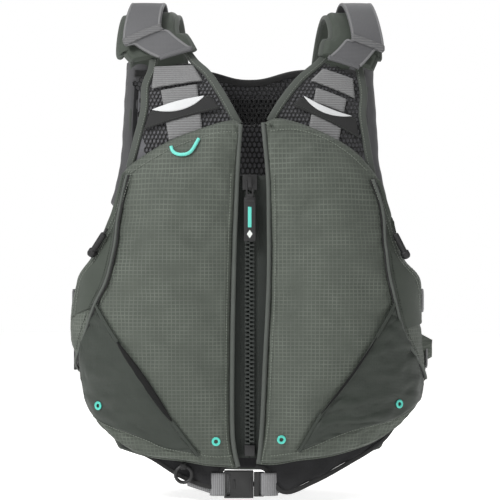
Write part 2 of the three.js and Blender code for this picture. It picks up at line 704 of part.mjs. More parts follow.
function grommets(name, side, outline, heights) {
  outline.grommets.forEach(([x, z], index) => {
    const place = seen([x * side, z]);
    const [hole, depth] = [2.1, 1.4];
    const profile = [[hole, 0], [grommetRadius, 0], [grommetRadius, depth], [hole, depth], [hole, 0]];
    const ring = add(`grommet_${["inner", "outer"][index]}_${name}`, turned(profile, 16), tealMetal);
    ring.position.copy(outside(place.x, place.y, heights[index](place)));
    ring.quaternion.setFromUnitVectors(new THREE.Vector3(0, 1, 0), outward(place));
  });
}

function pocketPull(name, side, outline, pocketTop) {
  const [start, end] = outline.pull.map(([x, z]) => {
    const place = seen([x * side, z]);
    return outside(place.x, place.y, pocketTop(place) + outline.pullHeight);
  });
  const cord = [[0, 0], [1.3, 0], [1.3, 6]];
  const grip = [[3, 6.6], [3.4, 8.5], [3.4, gripLength]];
  const capEnd = gripLength + 8.4;
  const cap = [[4.8, gripLength + 1.2], [4.8, gripLength + 6.5], [3.6, capEnd], [0, capEnd]];
  const pull = add(`pocket_pull_${name}`, turned([...cord, ...grip, ...cap], 12), blackPlastic);
  pull.position.copy(start);
  pull.quaternion.setFromUnitVectors(new THREE.Vector3(0, 1, 0), end.clone().sub(start).normalize());
}

function lashRing() {
  const hemPlace = seen([-71, 39]);
  const drop = 5; // from the hem to the ring's pivot
  const round = Array.from({ length: 9 }, (_, i) => {
    const angle = (2 * Math.PI * (i % 8)) / 8;
    return [ringRadius + ringWire * Math.cos(angle), ringWire * Math.sin(angle)];
  });
  const ring = add("lash_ring", turned(round, 20).translate(0, 0, -ringRadius), blackPlastic);
  ring.position.copy(outside(hemPlace.x, hemPlace.y, 8)).setZ(raised(39) - drop);
  const room = 2.7;
  const block = box(6, 2 * room + 2, 2 * room + 2.4, [0, 0, 0.8]);
  const eye = new THREE.CylinderGeometry(room, room, 10, 16).rotateZ(rightAngle);
  add("lash_tab", cut(block, eye), blackTape).position.copy(ring.position);
}

function cordLoop(outline, coverTop) {
  const route = along(edge(outline.loop, -1), above(coverTop, gap + loopDiameter / 2), 10);
  add("cord_loop", sweep(route, circle(loopDiameter / 2, 8), 12), tealCord);
}

// ---- Assembly ----
const wearerSides = { right: -1, left: 1 };
const rear = back();
Object.entries(wearerSides).forEach(([name, side]) => {
  const outline = fronts[name];
  const front = frontPanel(name, side, outline);
  upperMesh(name, side, outline, front.room);
  shoulder(name, side, outline, rear);
  sides(name, side, outline, front, rear);
  zipHalf(name, side, outline);
  grommets(name, side, outline, [above(front.coverTop, 3 * gap), above(front.pocketTop, gap)]);
  pocketPull(name, side, outline, front.pocketTop);
  if (outline.loop) cordLoop(outline, front.coverTop);
  beltHalf(name, side, front.lining);
});
zipFittings();
beltBuckle();
lashRing();

export default vest;
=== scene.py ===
import math
import bmesh
import bpy
import numpy as np
from mathutils import Matrix, Vector, noise


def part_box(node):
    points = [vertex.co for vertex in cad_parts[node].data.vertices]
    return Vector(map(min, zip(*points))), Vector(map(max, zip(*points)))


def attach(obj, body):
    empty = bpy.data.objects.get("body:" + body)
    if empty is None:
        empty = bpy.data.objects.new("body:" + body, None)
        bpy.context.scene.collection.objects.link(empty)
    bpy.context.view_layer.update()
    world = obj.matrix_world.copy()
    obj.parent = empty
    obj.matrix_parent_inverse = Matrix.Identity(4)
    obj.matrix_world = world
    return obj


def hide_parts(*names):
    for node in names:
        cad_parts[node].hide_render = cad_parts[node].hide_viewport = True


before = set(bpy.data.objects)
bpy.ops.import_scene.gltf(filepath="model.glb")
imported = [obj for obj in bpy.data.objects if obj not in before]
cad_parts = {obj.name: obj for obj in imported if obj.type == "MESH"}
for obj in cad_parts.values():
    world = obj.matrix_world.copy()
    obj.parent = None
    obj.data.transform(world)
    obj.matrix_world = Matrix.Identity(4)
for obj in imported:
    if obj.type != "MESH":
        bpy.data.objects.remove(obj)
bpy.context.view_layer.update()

mm = 0.001

cameraLook = {"lens": 200, "sensor": 36, "span": 0.525, "front": 0.105, "aside": 0.0003, "level": 0.2617}


def frontCamera():
    # Level, straight on, far enough away that the view is nearly flat
    look = cameraLook
    camera = bpy.data.objects.new("camera", bpy.data.cameras.new("camera"))
    camera.data.lens = look["lens"]
    camera.data.sensor_width = look["sensor"]
    away = look["span"] * look["lens"] / look["sensor"] + look["front"]
    camera.location = (look["aside"], -away, look["level"])
    camera.rotation_euler = (math.pi / 2, 0, 0)
    bpy.context.scene.collection.objects.link(camera)
    bpy.context.scene.camera = camera


frontCamera()

# The torso: the surface that the frame's solids lie on, in millimetres
form = {
    "halfWidth": 170.7,
    "halfDepth": 92.0,
    "domeStart": 300.0,
    "shoulderTop": 509.0,
    "domeRun": 240.0,
    "roundness": 2.4,
    "reach": 16.0,  # height above the torso at which outlines are read
}
overRun = 2 * (form["domeStart"] + form["domeRun"])


def power(value, exponent):
    return np.sign(value) * np.abs(value) ** exponent


def torso(turn, run):
    turn, run = np.broadcast_arrays(np.asarray(turn, float), np.asarray(run, float))
    exponent = 2 / form["roundness"]
    x = form["halfWidth"] * power(np.sin(turn), exponent)
    y = -form["halfDepth"] * power(np.cos(turn), exponent)
    lean = np.clip((run - form["domeStart"]) / form["domeRun"], 0, 2) * math.pi / 2
    z = np.where(run <= form["domeStart"], run, overRun - run)
    dome = (run > form["domeStart"]) & (run < overRun - form["domeStart"])
    rise = form["domeStart"] + (form["shoulderTop"] - form["domeStart"]) * np.sin(lean)
    return np.stack([x, y * np.cos(lean), np.where(dome, rise, z)], axis=-1)


def normalOf(turn, run):
    across = torso(turn + 0.002, run) - torso(turn - 0.002, run)
    along = torso(turn, run + 1) - torso(turn, run - 1)
    normal = np.cross(across, along)
    return normal / np.linalg.norm(normal, axis=-1, keepdims=True)


def outside(turn, run, height):
    turn, run = np.broadcast_arrays(np.asarray(turn, float), np.asarray(run, float))
    return torso(turn, run) + normalOf(turn, run) * np.asarray(height, float)[..., None]


def seen(points, side=1):
    # Turn and run of the points seen at x, z from the front; a third value of 1 puts one on the back
    points = np.array([(*p, 0)[:3] for p in points], float)
    x, z, back = np.abs(points[:, 0]), points[:, 1], points[:, 2]
    sign = np.where(points[:, 0] * side < 0, -1, 1)
    turn = np.minimum(1.5, x / 187 * 1.2)
    run = np.minimum(z, 516.0)
    for _ in range(40):
        here = outside(turn, run, form["reach"])
        right = (outside(turn + 0.001, run, form["reach"]) - here) / 0.001
        up = (outside(turn, run + 0.1, form["reach"]) - here) / 0.1
        ex, ez = x - here[:, 0], z - here[:, 2]
        scale = right[:, 0] * up[:, 2] - right[:, 2] * up[:, 0]
        scale = np.where(np.abs(scale) < 1e-9, 1, scale)
        turn = turn + np.clip((ex * up[:, 2] - ez * up[:, 0]) / scale, -0.2, 0.2)
        run = run + np.clip((ez * right[:, 0] - ex * right[:, 2]) / scale, -25, 25)
        turn = np.clip(turn, 0, math.pi / 2)
        run = np.clip(run, -20, 540)
    return np.stack([sign * turn, np.where(back > 0, overRun - run, run)], axis=1)


class Edge:
    # A smooth line through places on the torso, from share 0 to 1
    def __init__(self, points, side=1, places=None):
        self.places = seen(points, side) if places is None else np.array(places, float)

    def at(self, share):
        p = self.places
        count = len(p) - 1
        t = np.clip(np.asarray(share, float), 0, 1) * count
        i = np.minimum(t.astype(int), count - 1)
        w = (t - i)[..., None]
        if count == 1:
            return p[0] + (p[1] - p[0]) * w
        p0, p1, p2 = p[np.maximum(i - 1, 0)], p[i], p[i + 1]
        p3 = p[np.minimum(i + 2, count)]
        v0, v1 = (p2 - p0) / 2, (p3 - p1) / 2
        return ((2 * p1 - 2 * p2 + v0 + v1) * w ** 3 + (-3 * p1 + 3 * p2 - 2 * v0 - v1) * w ** 2
                + v0 * w + p1)

    def spaced(self, count):
        # Even steps in space, so a stitch or tube keeps its pace
        fine = self.at(np.linspace(0, 1, 400))
        steps = np.linalg.norm(np.diff(outside(fine[:, 0], fine[:, 1], 8), axis=0), axis=1)
        walk = np.concatenate([[0], np.cumsum(steps)])
        return self.at(np.interp(np.linspace(0, walk[-1], count), walk, np.linspace(0, 1, 400)))


class Patch:
    # The surface inside four edges: inner and outer run upwards, low and high run from inner to outer
    def __init__(self, inner, outer, low=None, high=None):
        self.inner, self.outer = inner, outer
        self.low = low or Edge(None, places=[inner.at(0.0), outer.at(0.0)])
        self.high = high or Edge(None, places=[inner.at(1.0), outer.at(1.0)])

    def at(self, across, up):
        across, up = np.broadcast_arrays(np.asarray(across, float), np.asarray(up, float))
        a, u = across[..., None], up[..., None]
        corners = [self.low.at(0.0), self.low.at(1.0), self.high.at(0.0), self.high.at(1.0)]
        flat = (1 - a) * (1 - u) * corners[0] + a * (1 - u) * corners[1]
        flat = flat + (1 - a) * u * corners[2] + a * u * corners[3]
        sides = self.inner.at(up) * (1 - a) + self.outer.at(up) * a
        return sides + self.low.at(across) * (1 - u) + self.high.at(across) * u - flat

    def within(self, places):
        # Across and up of places, by Newton's steps
        places = np.asarray(places, float)
        across = np.full(places.shape[:-1], 0.5)
        up = across.copy()
        for _ in range(18):
            here = self.at(across, up)
            dx = (self.at(across + 0.001, up) - here) / 0.001
            dy = (self.at(across, up + 0.001) - here) / 0.001
            miss = places - here
            scale = dx[..., 0] * dy[..., 1] - dx[..., 1] * dy[..., 0]
            scale = np.where(np.abs(scale) < 1e-9, 1, scale)
            aside = (miss[..., 0] * dy[..., 1] - miss[..., 1] * dy[..., 0]) / scale
            above = (dx[..., 0] * miss[..., 1] - dx[..., 1] * miss[..., 0]) / scale
            across = np.clip(across + aside, 0, 1)
            up = np.clip(up + above, 0, 1)
        return across, up


def hexColor(value):
    parts = [int(value[i:i + 2], 16) / 255 for i in (0, 2, 4)]
    return [p / 12.92 if p <= 0.04045 else ((p + 0.055) / 1.055) ** 2.4 for p in parts] + [1.0]


def addNode(tree, kind, settings=None, inputs=None, links=None):
    node = tree.nodes.new(kind)
    for key, value in (settings or {}).items():
        setattr(node, key, value)
    for key, value in (inputs or {}).items():
        node.inputs[key].default_value = value
    for key, socket in (links or {}).items():
        tree.links.new(socket, node.inputs[key])
    return node


def startMaterial(name, color, roughness, metallic=0.0, sheen=0.0, specular=0.5):
    material = bpy.data.materials.new(name)
    material.use_nodes = True
    tree = material.node_tree
    shader = tree.nodes["Principled BSDF"]
    shader.inputs["Base Color"].default_value = hexColor(color)
    shader.inputs["Roughness"].default_value = roughness
    shader.inputs["Metallic"].default_value = metallic
    shader.inputs["Specular IOR Level"].default_value = specular
    shader.inputs["Sheen Weight"].default_value = sheen
    shader.inputs["Sheen Roughness"].default_value = 0.5
    return material, tree, shader


def waveOf(tree, socket, period, phase=0.0):
    # 0 to 1 and back once a period, in metres, along one coordinate
    scaled = addNode(tree, "ShaderNodeMath", {"operation": "MULTIPLY_ADD"},
                     {1: 2 * math.pi / period, 2: phase}, {0: socket})
    sine = addNode(tree, "ShaderNodeMath", {"operation": "SINE"}, None, {0: scaled.outputs[0]})
    return addNode(tree, "ShaderNodeMath", {"operation": "MULTIPLY_ADD"}, {1: 0.5, 2: 0.5},
                   {0: sine.outputs[0]}).outputs[0]


def lineOf(tree, socket, period, width):
    # 1 on thin lines a period apart, 0 between them
    share = addNode(tree, "ShaderNodeMath", {"operation": "DIVIDE"}, {1: period}, {0: socket})
    part = addNode(tree, "ShaderNodeMath", {"operation": "FRACT"}, None, {0: share.outputs[0]})
    away = addNode(tree, "ShaderNodeMath", {"operation": "SUBTRACT"}, {1: 0.5}, {0: part.outputs[0]})
    size = addNode(tree, "ShaderNodeMath", {"operation": "ABSOLUTE"}, None, {0: away.outputs[0]})
    half = width / period / 2
    soft = addNode(tree, "ShaderNodeMapRange", {"interpolation_type": "SMOOTHSTEP"},
                   {"From Min": half, "From Max": half * 2.2, "To Min": 1.0, "To Max": 0.0},
                   {"Value": size.outputs[0]})
    return soft.outputs["Result"]


def mathOf(tree, operation, a, b):
    node = addNode(tree, "ShaderNodeMath", {"operation": operation})
    for index, value in enumerate((a, b)):
        if isinstance(value, (int, float)):
            node.inputs[index].default_value = value
        else:
            tree.links.new(value, node.inputs[index])
    return node.outputs[0]


def mixColor(tree, factor, first, second):
    node = addNode(tree, "ShaderNodeMix", {"data_type": "RGBA"})
    for index, value in ((0, factor), (6, first), (7, second)):
        if isinstance(value, (int, float, list)):
            node.inputs[index].default_value = value
        else:
            tree.links.new(value, node.inputs[index])
    return node.outputs[2]


def coordinates(tree, kind):
    # The cloth's own UV map is in metres of cloth; Object is in metres of the part
    if kind == "cloth":
        source = addNode(tree, "ShaderNodeUVMap", {"uv_map": "cloth"}).outputs["UV"]
    else:
        source = addNode(tree, "ShaderNodeTexCoord").outputs["Object"]
    split = addNode(tree, "ShaderNodeSeparateXYZ", None, None, {0: source})
    return source, split.outputs[0], split.outputs[1], split.outputs[2]


def noiseOf(tree, source, scale, detail=3.0):
    return addNode(tree, "ShaderNodeTexNoise", None, {"Scale": scale, "Detail": detail},
                   {"Vector": source}).outputs["Fac"]


def bump(tree, shader, height, strength, distance):
    node = addNode(tree, "ShaderNodeBump", None, {"Strength": strength, "Distance": distance},
                   {"Height": height})
    tree.links.new(node.outputs["Normal"], shader.inputs["Normal"])


# The heavier threads of the ripstop's grid, painted lighter in patches as painted sheen
gridLook = {"color": "7C8279", "across": 0.5, "along": 0.6, "patches": 34.0, "from": 0.25, "to": 0.85,
            "stand": 0.5}


def wovenCloth(name, color, light, thread=1.3, grid=0.0, gridShow=0.35, roughness=0.72, sheen=0.06,
               crease=0.3):
    # Woven nylon: a plain weave with uneven dyeing; ripstop adds heavier threads in a square grid, painted
    # lighter in noisy patches as painted sheen
    material, tree, shader = startMaterial(name, color, roughness, 0.0, sheen, 0.35)
    source, u, v, _ = coordinates(tree, "cloth")
    weave = mathOf(tree, "MULTIPLY", waveOf(tree, u, thread * mm), waveOf(tree, v, thread * mm, 1.57))
    cloudy = noiseOf(tree, source, 38.0)
    fine = noiseOf(tree, source, 900.0, 2.0)
    tone = mixColor(tree, cloudy, hexColor(color), hexColor(light))
    speck = mathOf(tree, "MULTIPLY", mathOf(tree, "ADD", weave, fine), 0.22)
    tone = mixColor(tree, speck, tone, hexColor(light))
    height = mathOf(tree, "MULTIPLY", weave, 0.35)
    if grid:
        look = gridLook
        lines = mathOf(tree, "MAXIMUM", lineOf(tree, u, grid * mm, look["across"] * mm),
                       lineOf(tree, v, grid * mm, look["along"] * mm))
        # Painted sheen: the grid lines mixed towards a pale colour in noisy patches
        patchy = addNode(tree, "ShaderNodeMapRange", None,
                         {"From Min": look["from"], "From Max": look["to"], "To Max": gridShow * 2},
                         {"Value": noiseOf(tree, source, look["patches"], 5.0)})
        gridSheen = mathOf(tree, "MULTIPLY", lines, patchy.outputs["Result"])
        tone = mixColor(tree, gridSheen, tone, hexColor(look["color"]))
        height = mathOf(tree, "ADD", height, mathOf(tree, "MULTIPLY", lines, look["stand"]))
    tree.links.new(tone, shader.inputs["Base Color"])
    wrinkle = noiseOf(tree, source, 55.0, 5.0)
    total = mathOf(tree, "ADD", height, mathOf(tree, "MULTIPLY", wrinkle, crease * 6))
    bump(tree, shader, total, 0.5, 0.0006)
    return material


def ribbedWeb(name, color, light, pitch=2.3, along=True, deep=1.0, roughness=0.7):
    # Polypropylene webbing: woven with ribs across its length and fine yarn along it
    material, tree, shader = startMaterial(name, color, roughness, 0.0, 0.08, 0.4)
    source, u, v, _ = coordinates(tree, "cloth")
    ribs = waveOf(tree, v if along else u, pitch * mm)
    yarn = waveOf(tree, u if along else v, 1.5 * mm)
    shape = mathOf(tree, "POWER", ribs, 1.4)
    mixed = mathOf(tree, "MULTIPLY", mathOf(tree, "ADD", shape, mathOf(tree, "MULTIPLY", yarn, 0.35)), 0.62)
    uneven = mathOf(tree, "ADD", mixed, mathOf(tree, "MULTIPLY", noiseOf(tree, source, 240.0), 0.25))
    tone = mixColor(tree, uneven, hexColor(color), hexColor(light))
    tree.links.new(tone, shader.inputs["Base Color"])
    bump(tree, shader, mixed, 0.8 * deep, 0.0007)
    return material


def mouldedPlastic(name, color, roughness=0.42, grain=0.15):
    # Injection-moulded plastic: satin from a fine spark-eroded tool, unevenly polished by handling
    material, tree, shader = startMaterial(name, color, roughness, 0.0, 0.0, 0.5)
    source, _, _, _ = coordinates(tree, "object")
    speck = noiseOf(tree, source, 1400.0, 2.0)
    cloud = noiseOf(tree, source, 60.0, 3.0)
    rough = addNode(tree, "ShaderNodeMapRange", None,
                    {"To Min": roughness - 0.08, "To Max": roughness + 0.12}, {"Value": cloud})
    tree.links.new(rough.outputs["Result"], shader.inputs["Roughness"])
    bump(tree, shader, speck, grain, 0.0002)
    return material


cloths = {
    "ripstop": wovenCloth("ripstopNylonWoven", "363B35", "464B44", 1.3, 3.9, 0.2, 0.74, 0.05, 0.8),
    "plain": wovenCloth("plainNylonWoven", "1D221D", "2A302A", 1.5, 0.0, 0.0, 0.62, 0.05, 0.8),
    "back": wovenCloth("coatedNylonWoven", "373738", "454547", 1.4, 0.0, 0.0, 0.66, 0.03, 0.8),
    "binding": wovenCloth("bindingTapeWoven", "353934", "424642", 1.2, 0.0, 0.0, 0.78, 0.08, 0.15),
    "edging": wovenCloth("greyEdgingWoven", "3A3E3A", "4C504C", 1.1, 0.0, 0.0, 0.72, 0.08, 0.1),
    "facing": wovenCloth("facingNylonWoven", "2B302A", "3A4039", 1.3, 0.0, 0.0, 0.74, 0.05),
    "tape": wovenCloth("zipTapeWoven", "1B1F1C", "262A27", 1.0, 0.0, 0.0, 0.8, 0.05, 0.1),
    # Near-black cloth for the pocket slit: painted shade inside the pocket's mouth
    "shade": wovenCloth("paintedPocketShadeWoven", "040404", "080808", 1.1, 0.0, 0.0, 0.9, 0.0, 0.0),
    "band": wovenCloth("blackTapeWoven", "141415", "1F1F1F", 1.1, 0.0, 0.0, 0.76, 0.06, 0.1),
    "airMesh": wovenCloth("airMeshKnitted", "0F0F10", "222224", 3.4, 0.0, 0.0, 0.9, 0.1, 0.1),
    "net": wovenCloth("spacerNetKnitted", "131314", "252526", 0.9, 0.0, 0.0, 0.85, 0.12, 0.0),
    "fleck": wovenCloth("netBackKnitted", "4B4B4E", "5E5E61", 0.9, 0.0, 0.0, 0.9, 0.1, 0.0),
    "ribbed": ribbedWeb("ribbedWebbingWoven", "555555", "787879", 2.2),
    "ribbedSide": ribbedWeb("ribbedSideWebbingWoven", "5D5D5F", "868687", 2.2, False),
    "smooth": ribbedWeb("smoothWebbingWoven", "404042", "535355", 1.4, True, deep=0.4, roughness=0.62),
    "coarse": ribbedWeb("coarseRibWoven", "474748", "626263", 3.0),
    "selvedge": ribbedWeb("selvedgeWoven", "5C5C5C", "6C6C6E", 1.3, True, deep=0.4),
    "thread": wovenCloth("polyesterThreadTwisted", "5B6059", "6C7269", 0.6, 0.0, 0.0, 0.6, 0.05, 0.0),
    "darkThread": wovenCloth("darkThreadTwisted", "252925", "2F352F", 0.6, 0.0, 0.0, 0.6, 0.05, 0.0),
    "greyThread": wovenCloth("greyThreadTwisted", "59595B", "6C6C6E", 0.6, 0.0, 0.0, 0.6, 0.05, 0.0),
    "glass": wovenCloth("glassBeadTapeCoated", "B0B1B2", "C0C1C2", 0.8, 0.0, 0.0, 0.42, 0.0, 0.05),
    "teal": wovenCloth("tealCordBraided", "4BB0A2", "6BC6B9", 1.2, 0.0, 0.0, 0.6, 0.1, 0.0),
    "plastic": mouldedPlastic("acetalMoulded", "0C0C0D"),
    "rubber": mouldedPlastic("softRubberMoulded", "0A0A0B", 0.62, 0.25),
    "teeth": mouldedPlastic("zipToothMoulded", "141A16", 0.38, 0.1),
    "tealPlastic": mouldedPlastic("tealPlasticMoulded", "51B6A8", 0.45, 0.1),
    "paleMark": mouldedPlastic("paleInkPrinted", "C4C8C5", 0.5, 0.05),
}
cloths["eyelet"] = mouldedPlastic("eyeletPainted", "4DB7A8", 0.35, 0.05)
cloths["eyelet"].node_tree.nodes["Principled BSDF"].inputs["Metallic"].default_value = 0.35
print("stage: materials")


def arcOf(turn):
    # Length round the torso from its front, in metres
    table = np.linspace(0, math.pi, 900)
    steps = np.linalg.norm(np.diff(torso(table, 100.0), axis=0), axis=1)
    walk = np.concatenate([[0], np.cumsum(steps)]) * mm
    return np.sign(turn) * np.interp(np.abs(turn), table, walk)


def makeObject(name, points, faces, uvs, material, smooth=True):
    mesh = bpy.data.meshes.new(name)
    mesh.from_pydata([tuple(p) for p in np.asarray(points) * mm], [], faces)
    if uvs is not None:
        layer = mesh.uv_layers.new(name="cloth")
        corners = np.empty(len(mesh.loops), int)
        mesh.loops.foreach_get("vertex_index", corners)
        layer.data.foreach_set("uv", np.asarray(uvs, float)[corners].ravel())
    mesh.materials.append(material)
    mesh.polygons.foreach_set("use_smooth", [smooth] * len(mesh.polygons))
    mesh.update()
    piece = bpy.data.objects.new(name, mesh)
    bpy.context.scene.collection.objects.link(piece)
    return piece


def slabFaces(rows, columns):
    def at(layer, r, c):
        return layer * rows * columns + r * columns + c
    faces = []
    for r in range(rows - 1):
        for c in range(columns - 1):
            faces.append((at(1, r, c), at(1, r, c + 1), at(1, r + 1, c + 1), at(1, r + 1, c)))
            faces.append((at(0, r, c), at(0, r + 1, c), at(0, r + 1, c + 1), at(0, r, c + 1)))
    rim = [(0, c) for c in range(columns - 1)] + [(r, columns - 1) for r in range(rows - 1)]
    rim += [(rows - 1, c) for c in range(columns - 1, 0, -1)] + [(r, 0) for r in range(rows - 1, 0, -1)]
    for (a, b), (c, d) in zip(rim, rim[1:] + rim[:1]):
        faces.append((at(1, a, b), at(0, a, b), at(0, c, d), at(1, c, d)))
    return faces


def faceOut(piece):
    # Turns a closed mesh so that its volume is positive
    mesh = piece.data
    mesh.calc_loop_triangles()
    points = np.empty(len(mesh.vertices) * 3)
    mesh.vertices.foreach_get("co", points)
    points = points.reshape(-1, 3)
    corners = np.array([t.vertices for t in mesh.loop_triangles])
    a, b, c = (points[corners[:, i]] for i in range(3))
    if np.einsum("ij,ij->i", a, np.cross(b, c)).sum() < 0:
        mesh.flip_normals()
    return piece


def clothSlab(name, places, foot, top, material, lift=None):
    # A closed piece of cloth or padding over a grid of places, between two heights
    places = np.asarray(places, float)
    turn, run = places[..., 0], places[..., 1]
    extra = 0 if lift is None else lift
    inner = outside(turn, run, np.broadcast_to(foot, turn.shape))
    outer = outside(turn, run, np.broadcast_to(top, turn.shape) + extra)
    uv = np.stack([arcOf(turn), run * mm], axis=-1).reshape(-1, 2)
    points = np.concatenate([inner.reshape(-1, 3), outer.reshape(-1, 3)])
    faces = slabFaces(*turn.shape)
    return faceOut(makeObject(name, points, faces, np.concatenate([uv, uv]), material))


def gridOf(patch, columns, rows, tight=0.0):
    # Shares across and up; tight crowds the lines at the edges, where a padded edge rolls over
    def shares(count):
        t = np.linspace(0, 1, count)
        return t - tight * np.sin(2 * math.pi * t) / (2 * math.pi)
    across, up = np.meshgrid(shares(columns), shares(rows))
    return across, up, patch.at(across, up)


def noiseAt(points, scale, seed):
    shift = Vector((seed * 13.7, seed * 5.1, seed * 9.3))
    flat = np.asarray(points).reshape(-1, 3)
    found = np.array([noise.noise(Vector(p) / scale + shift) for p in flat])
    return found.reshape(np.asarray(points).shape[:-1])


def frameAlong(points, normals):
    tangents = np.gradient(points, axis=0)
    tangents /= np.maximum(np.linalg.norm(tangents, axis=1, keepdims=True), 1e-9)
    side = np.cross(tangents, normals)
    side /= np.maximum(np.linalg.norm(side, axis=1, keepdims=True), 1e-9)
    return side, np.cross(side, tangents)


def sweepProfile(name, points, normals, profile, material, taper=None):
    # A closed band or cord: a profile of (sideways, outwards) in mm carried along points
    points = np.asarray(points, float)
    side, up = frameAlong(points, np.asarray(normals, float))
    profile = np.asarray(profile, float)
    count, ring = len(points), len(profile)
    size = np.ones(count) if taper is None else taper
    rings = (points[:, None] + side[:, None] * profile[None, :, :1] * size[:, None, None]
             + up[:, None] * profile[None, :, 1:] * size[:, None, None])
    walk = np.concatenate([[0], np.cumsum(np.linalg.norm(np.diff(points, axis=0), axis=1))]) * mm
    around = np.concatenate([[0], np.cumsum(np.linalg.norm(np.diff(profile, axis=0), axis=1))]) * mm
    uv = np.stack(np.broadcast_arrays(around[None, :], walk[:, None]), axis=-1).reshape(-1, 2)
    faces = []
    for i in range(count - 1):
        for j in range(ring):
            k = (j + 1) % ring
            faces.append((i * ring + j, i * ring + k, (i + 1) * ring + k, (i + 1) * ring + j))
    faces.append(tuple(range(ring))[::-1])
    faces.append(tuple((count - 1) * ring + j for j in range(ring)))
    return faceOut(makeObject(name, rings.reshape(-1, 3), faces, uv, material))


def bandProfile(width, thick, corners=4, shift=0.0, foot=0.0):
    # A flat band with round edges, its underside at foot
    radius = min(thick / 2, width / 2)
    points = []
    for centre, start in ((width / 2 - radius, -90), (-(width / 2 - radius), 90)):
        for i in range(corners + 1):
            angle = math.radians(start + 180 * i / corners)
            sideways = shift + centre + radius * math.cos(angle)
            points.append((sideways, foot + radius + radius * math.sin(angle)))
    return points


def cordProfile(radius, sides=12, foot=0.0):
    angles = np.linspace(0, 2 * math.pi, sides, endpoint=False)
    return [(radius * math.cos(a), foot + radius * math.sin(a)) for a in angles]


def lineOn(edge, height, count):
    # Points and normals along an edge at a height, which may go by place
    places = edge.spaced(count) if isinstance(edge, Edge) else np.asarray(edge)
    turn, run = places[:, 0], places[:, 1]
    level = height(places) if callable(height) else height
    return outside(turn, run, np.broadcast_to(level, turn.shape)), normalOf(turn, run)


clothLook = {"quality": 5, "mass": 0.25, "stretch": 12.0, "shear": 4.0, "bend": 0.25}


def inflate(piece, pinned, pressure, grow, cap, frames):
    # Blows cloth up between its pinned seams, so that it swells and creases as sewn padding does
    group = piece.vertex_groups.new(name="seam")
    group.add([int(i) for i in pinned], 1.0, "REPLACE")
    cloth = piece.modifiers.new("cloth", "CLOTH")
    settings = cloth.settings
    settings.vertex_group_mass = "seam"
    settings.quality = clothLook["quality"]
    settings.mass = clothLook["mass"]
    settings.tension_stiffness = clothLook["stretch"]
    settings.compression_stiffness = clothLook["stretch"]
    settings.shear_stiffness = clothLook["shear"]
    settings.bending_stiffness = clothLook["bend"]
    settings.shrink_min = -grow
    settings.use_pressure = True
    settings.uniform_pressure_force = pressure
    settings.effector_weights.gravity = 0.0
    cloth.point_cache.frame_start = 1
    cloth.point_cache.frame_end = frames
    scene = bpy.context.scene
    for number in range(1, frames + 1):
        scene.frame_set(number)
    graph = bpy.context.evaluated_depsgraph_get()
    moved = np.empty(len(piece.data.vertices) * 3)
    piece.evaluated_get(graph).data.vertices.foreach_get("co", moved)
    start = np.empty_like(moved)
    piece.data.vertices.foreach_get("co", start)
    step = (moved - start).reshape(-1, 3)
    size = np.linalg.norm(step, axis=1, keepdims=True)
    step *= np.minimum(1, cap * mm / np.maximum(size, 1e-9))
    piece.modifiers.remove(cloth)
    piece.vertex_groups.remove(group)
    piece.data.vertices.foreach_set("co", start + step.ravel())
    piece.data.update()
    scene.frame_set(1)


def socketOf(tree, name):
    return next(i.identifier for i in tree.interface.items_tree if i.name == name)


def geometryTree(name, inputs):
    tree = bpy.data.node_groups.new(name, "GeometryNodeTree")
    tree.interface.new_socket("Geometry", in_out="INPUT", socket_type="NodeSocketGeometry")
    for key, kind in inputs:
        tree.interface.new_socket(key, in_out="INPUT", socket_type=kind)
    tree.interface.new_socket("Geometry", in_out="OUTPUT", socket_type="NodeSocketGeometry")
    return tree, addNode(tree, "NodeGroupInput")


def endTree(tree, start, geometry):
    real = addNode(tree, "GeometryNodeRealizeInstances", None, None, {0: geometry})
    painted = addNode(tree, "GeometryNodeSetMaterial", None, None,
                      {"Geometry": real.outputs[0], "Material": start.outputs["Material"]})
    addNode(tree, "NodeGroupOutput", None, None, {0: painted.outputs[0]})


def stitchTree():
    # Short rounded stitches lying along every line, a pitch apart
    names = [("Pitch", "NodeSocketFloat"), ("Length", "NodeSocketFloat"), ("Radius", "NodeSocketFloat"),
             ("Material", "NodeSocketMaterial")]
    tree, start = geometryTree("stitchRow", names)
    points = addNode(tree, "GeometryNodeCurveToPoints", {"mode": "LENGTH"}, None,
                     {"Curve": start.outputs["Geometry"], "Length": start.outputs["Pitch"]})
    bead = addNode(tree, "GeometryNodeMeshIcoSphere", None, {"Radius": 1.0, "Subdivisions": 2})
    half = mathOf(tree, "MULTIPLY", start.outputs["Length"], 0.5)
    size = addNode(tree, "ShaderNodeCombineXYZ", None, None,
                   {0: start.outputs["Radius"], 1: start.outputs["Radius"], 2: half})
    turned = addNode(tree, "FunctionNodeAlignRotationToVector", {"axis": "Z"}, None,
                     {"Vector": points.outputs["Tangent"]})
    rows = addNode(tree, "GeometryNodeInstanceOnPoints", None, None,
                   {"Points": points.outputs["Points"], "Instance": bead.outputs[0],
                    "Rotation": turned.outputs[0], "Scale": size.outputs[0]})
    endTree(tree, start, rows.outputs[0])
    return tree


netLook = {"stagger": 0.866, "ring": 0.54, "ringSides": 6, "yarnSides": 4}


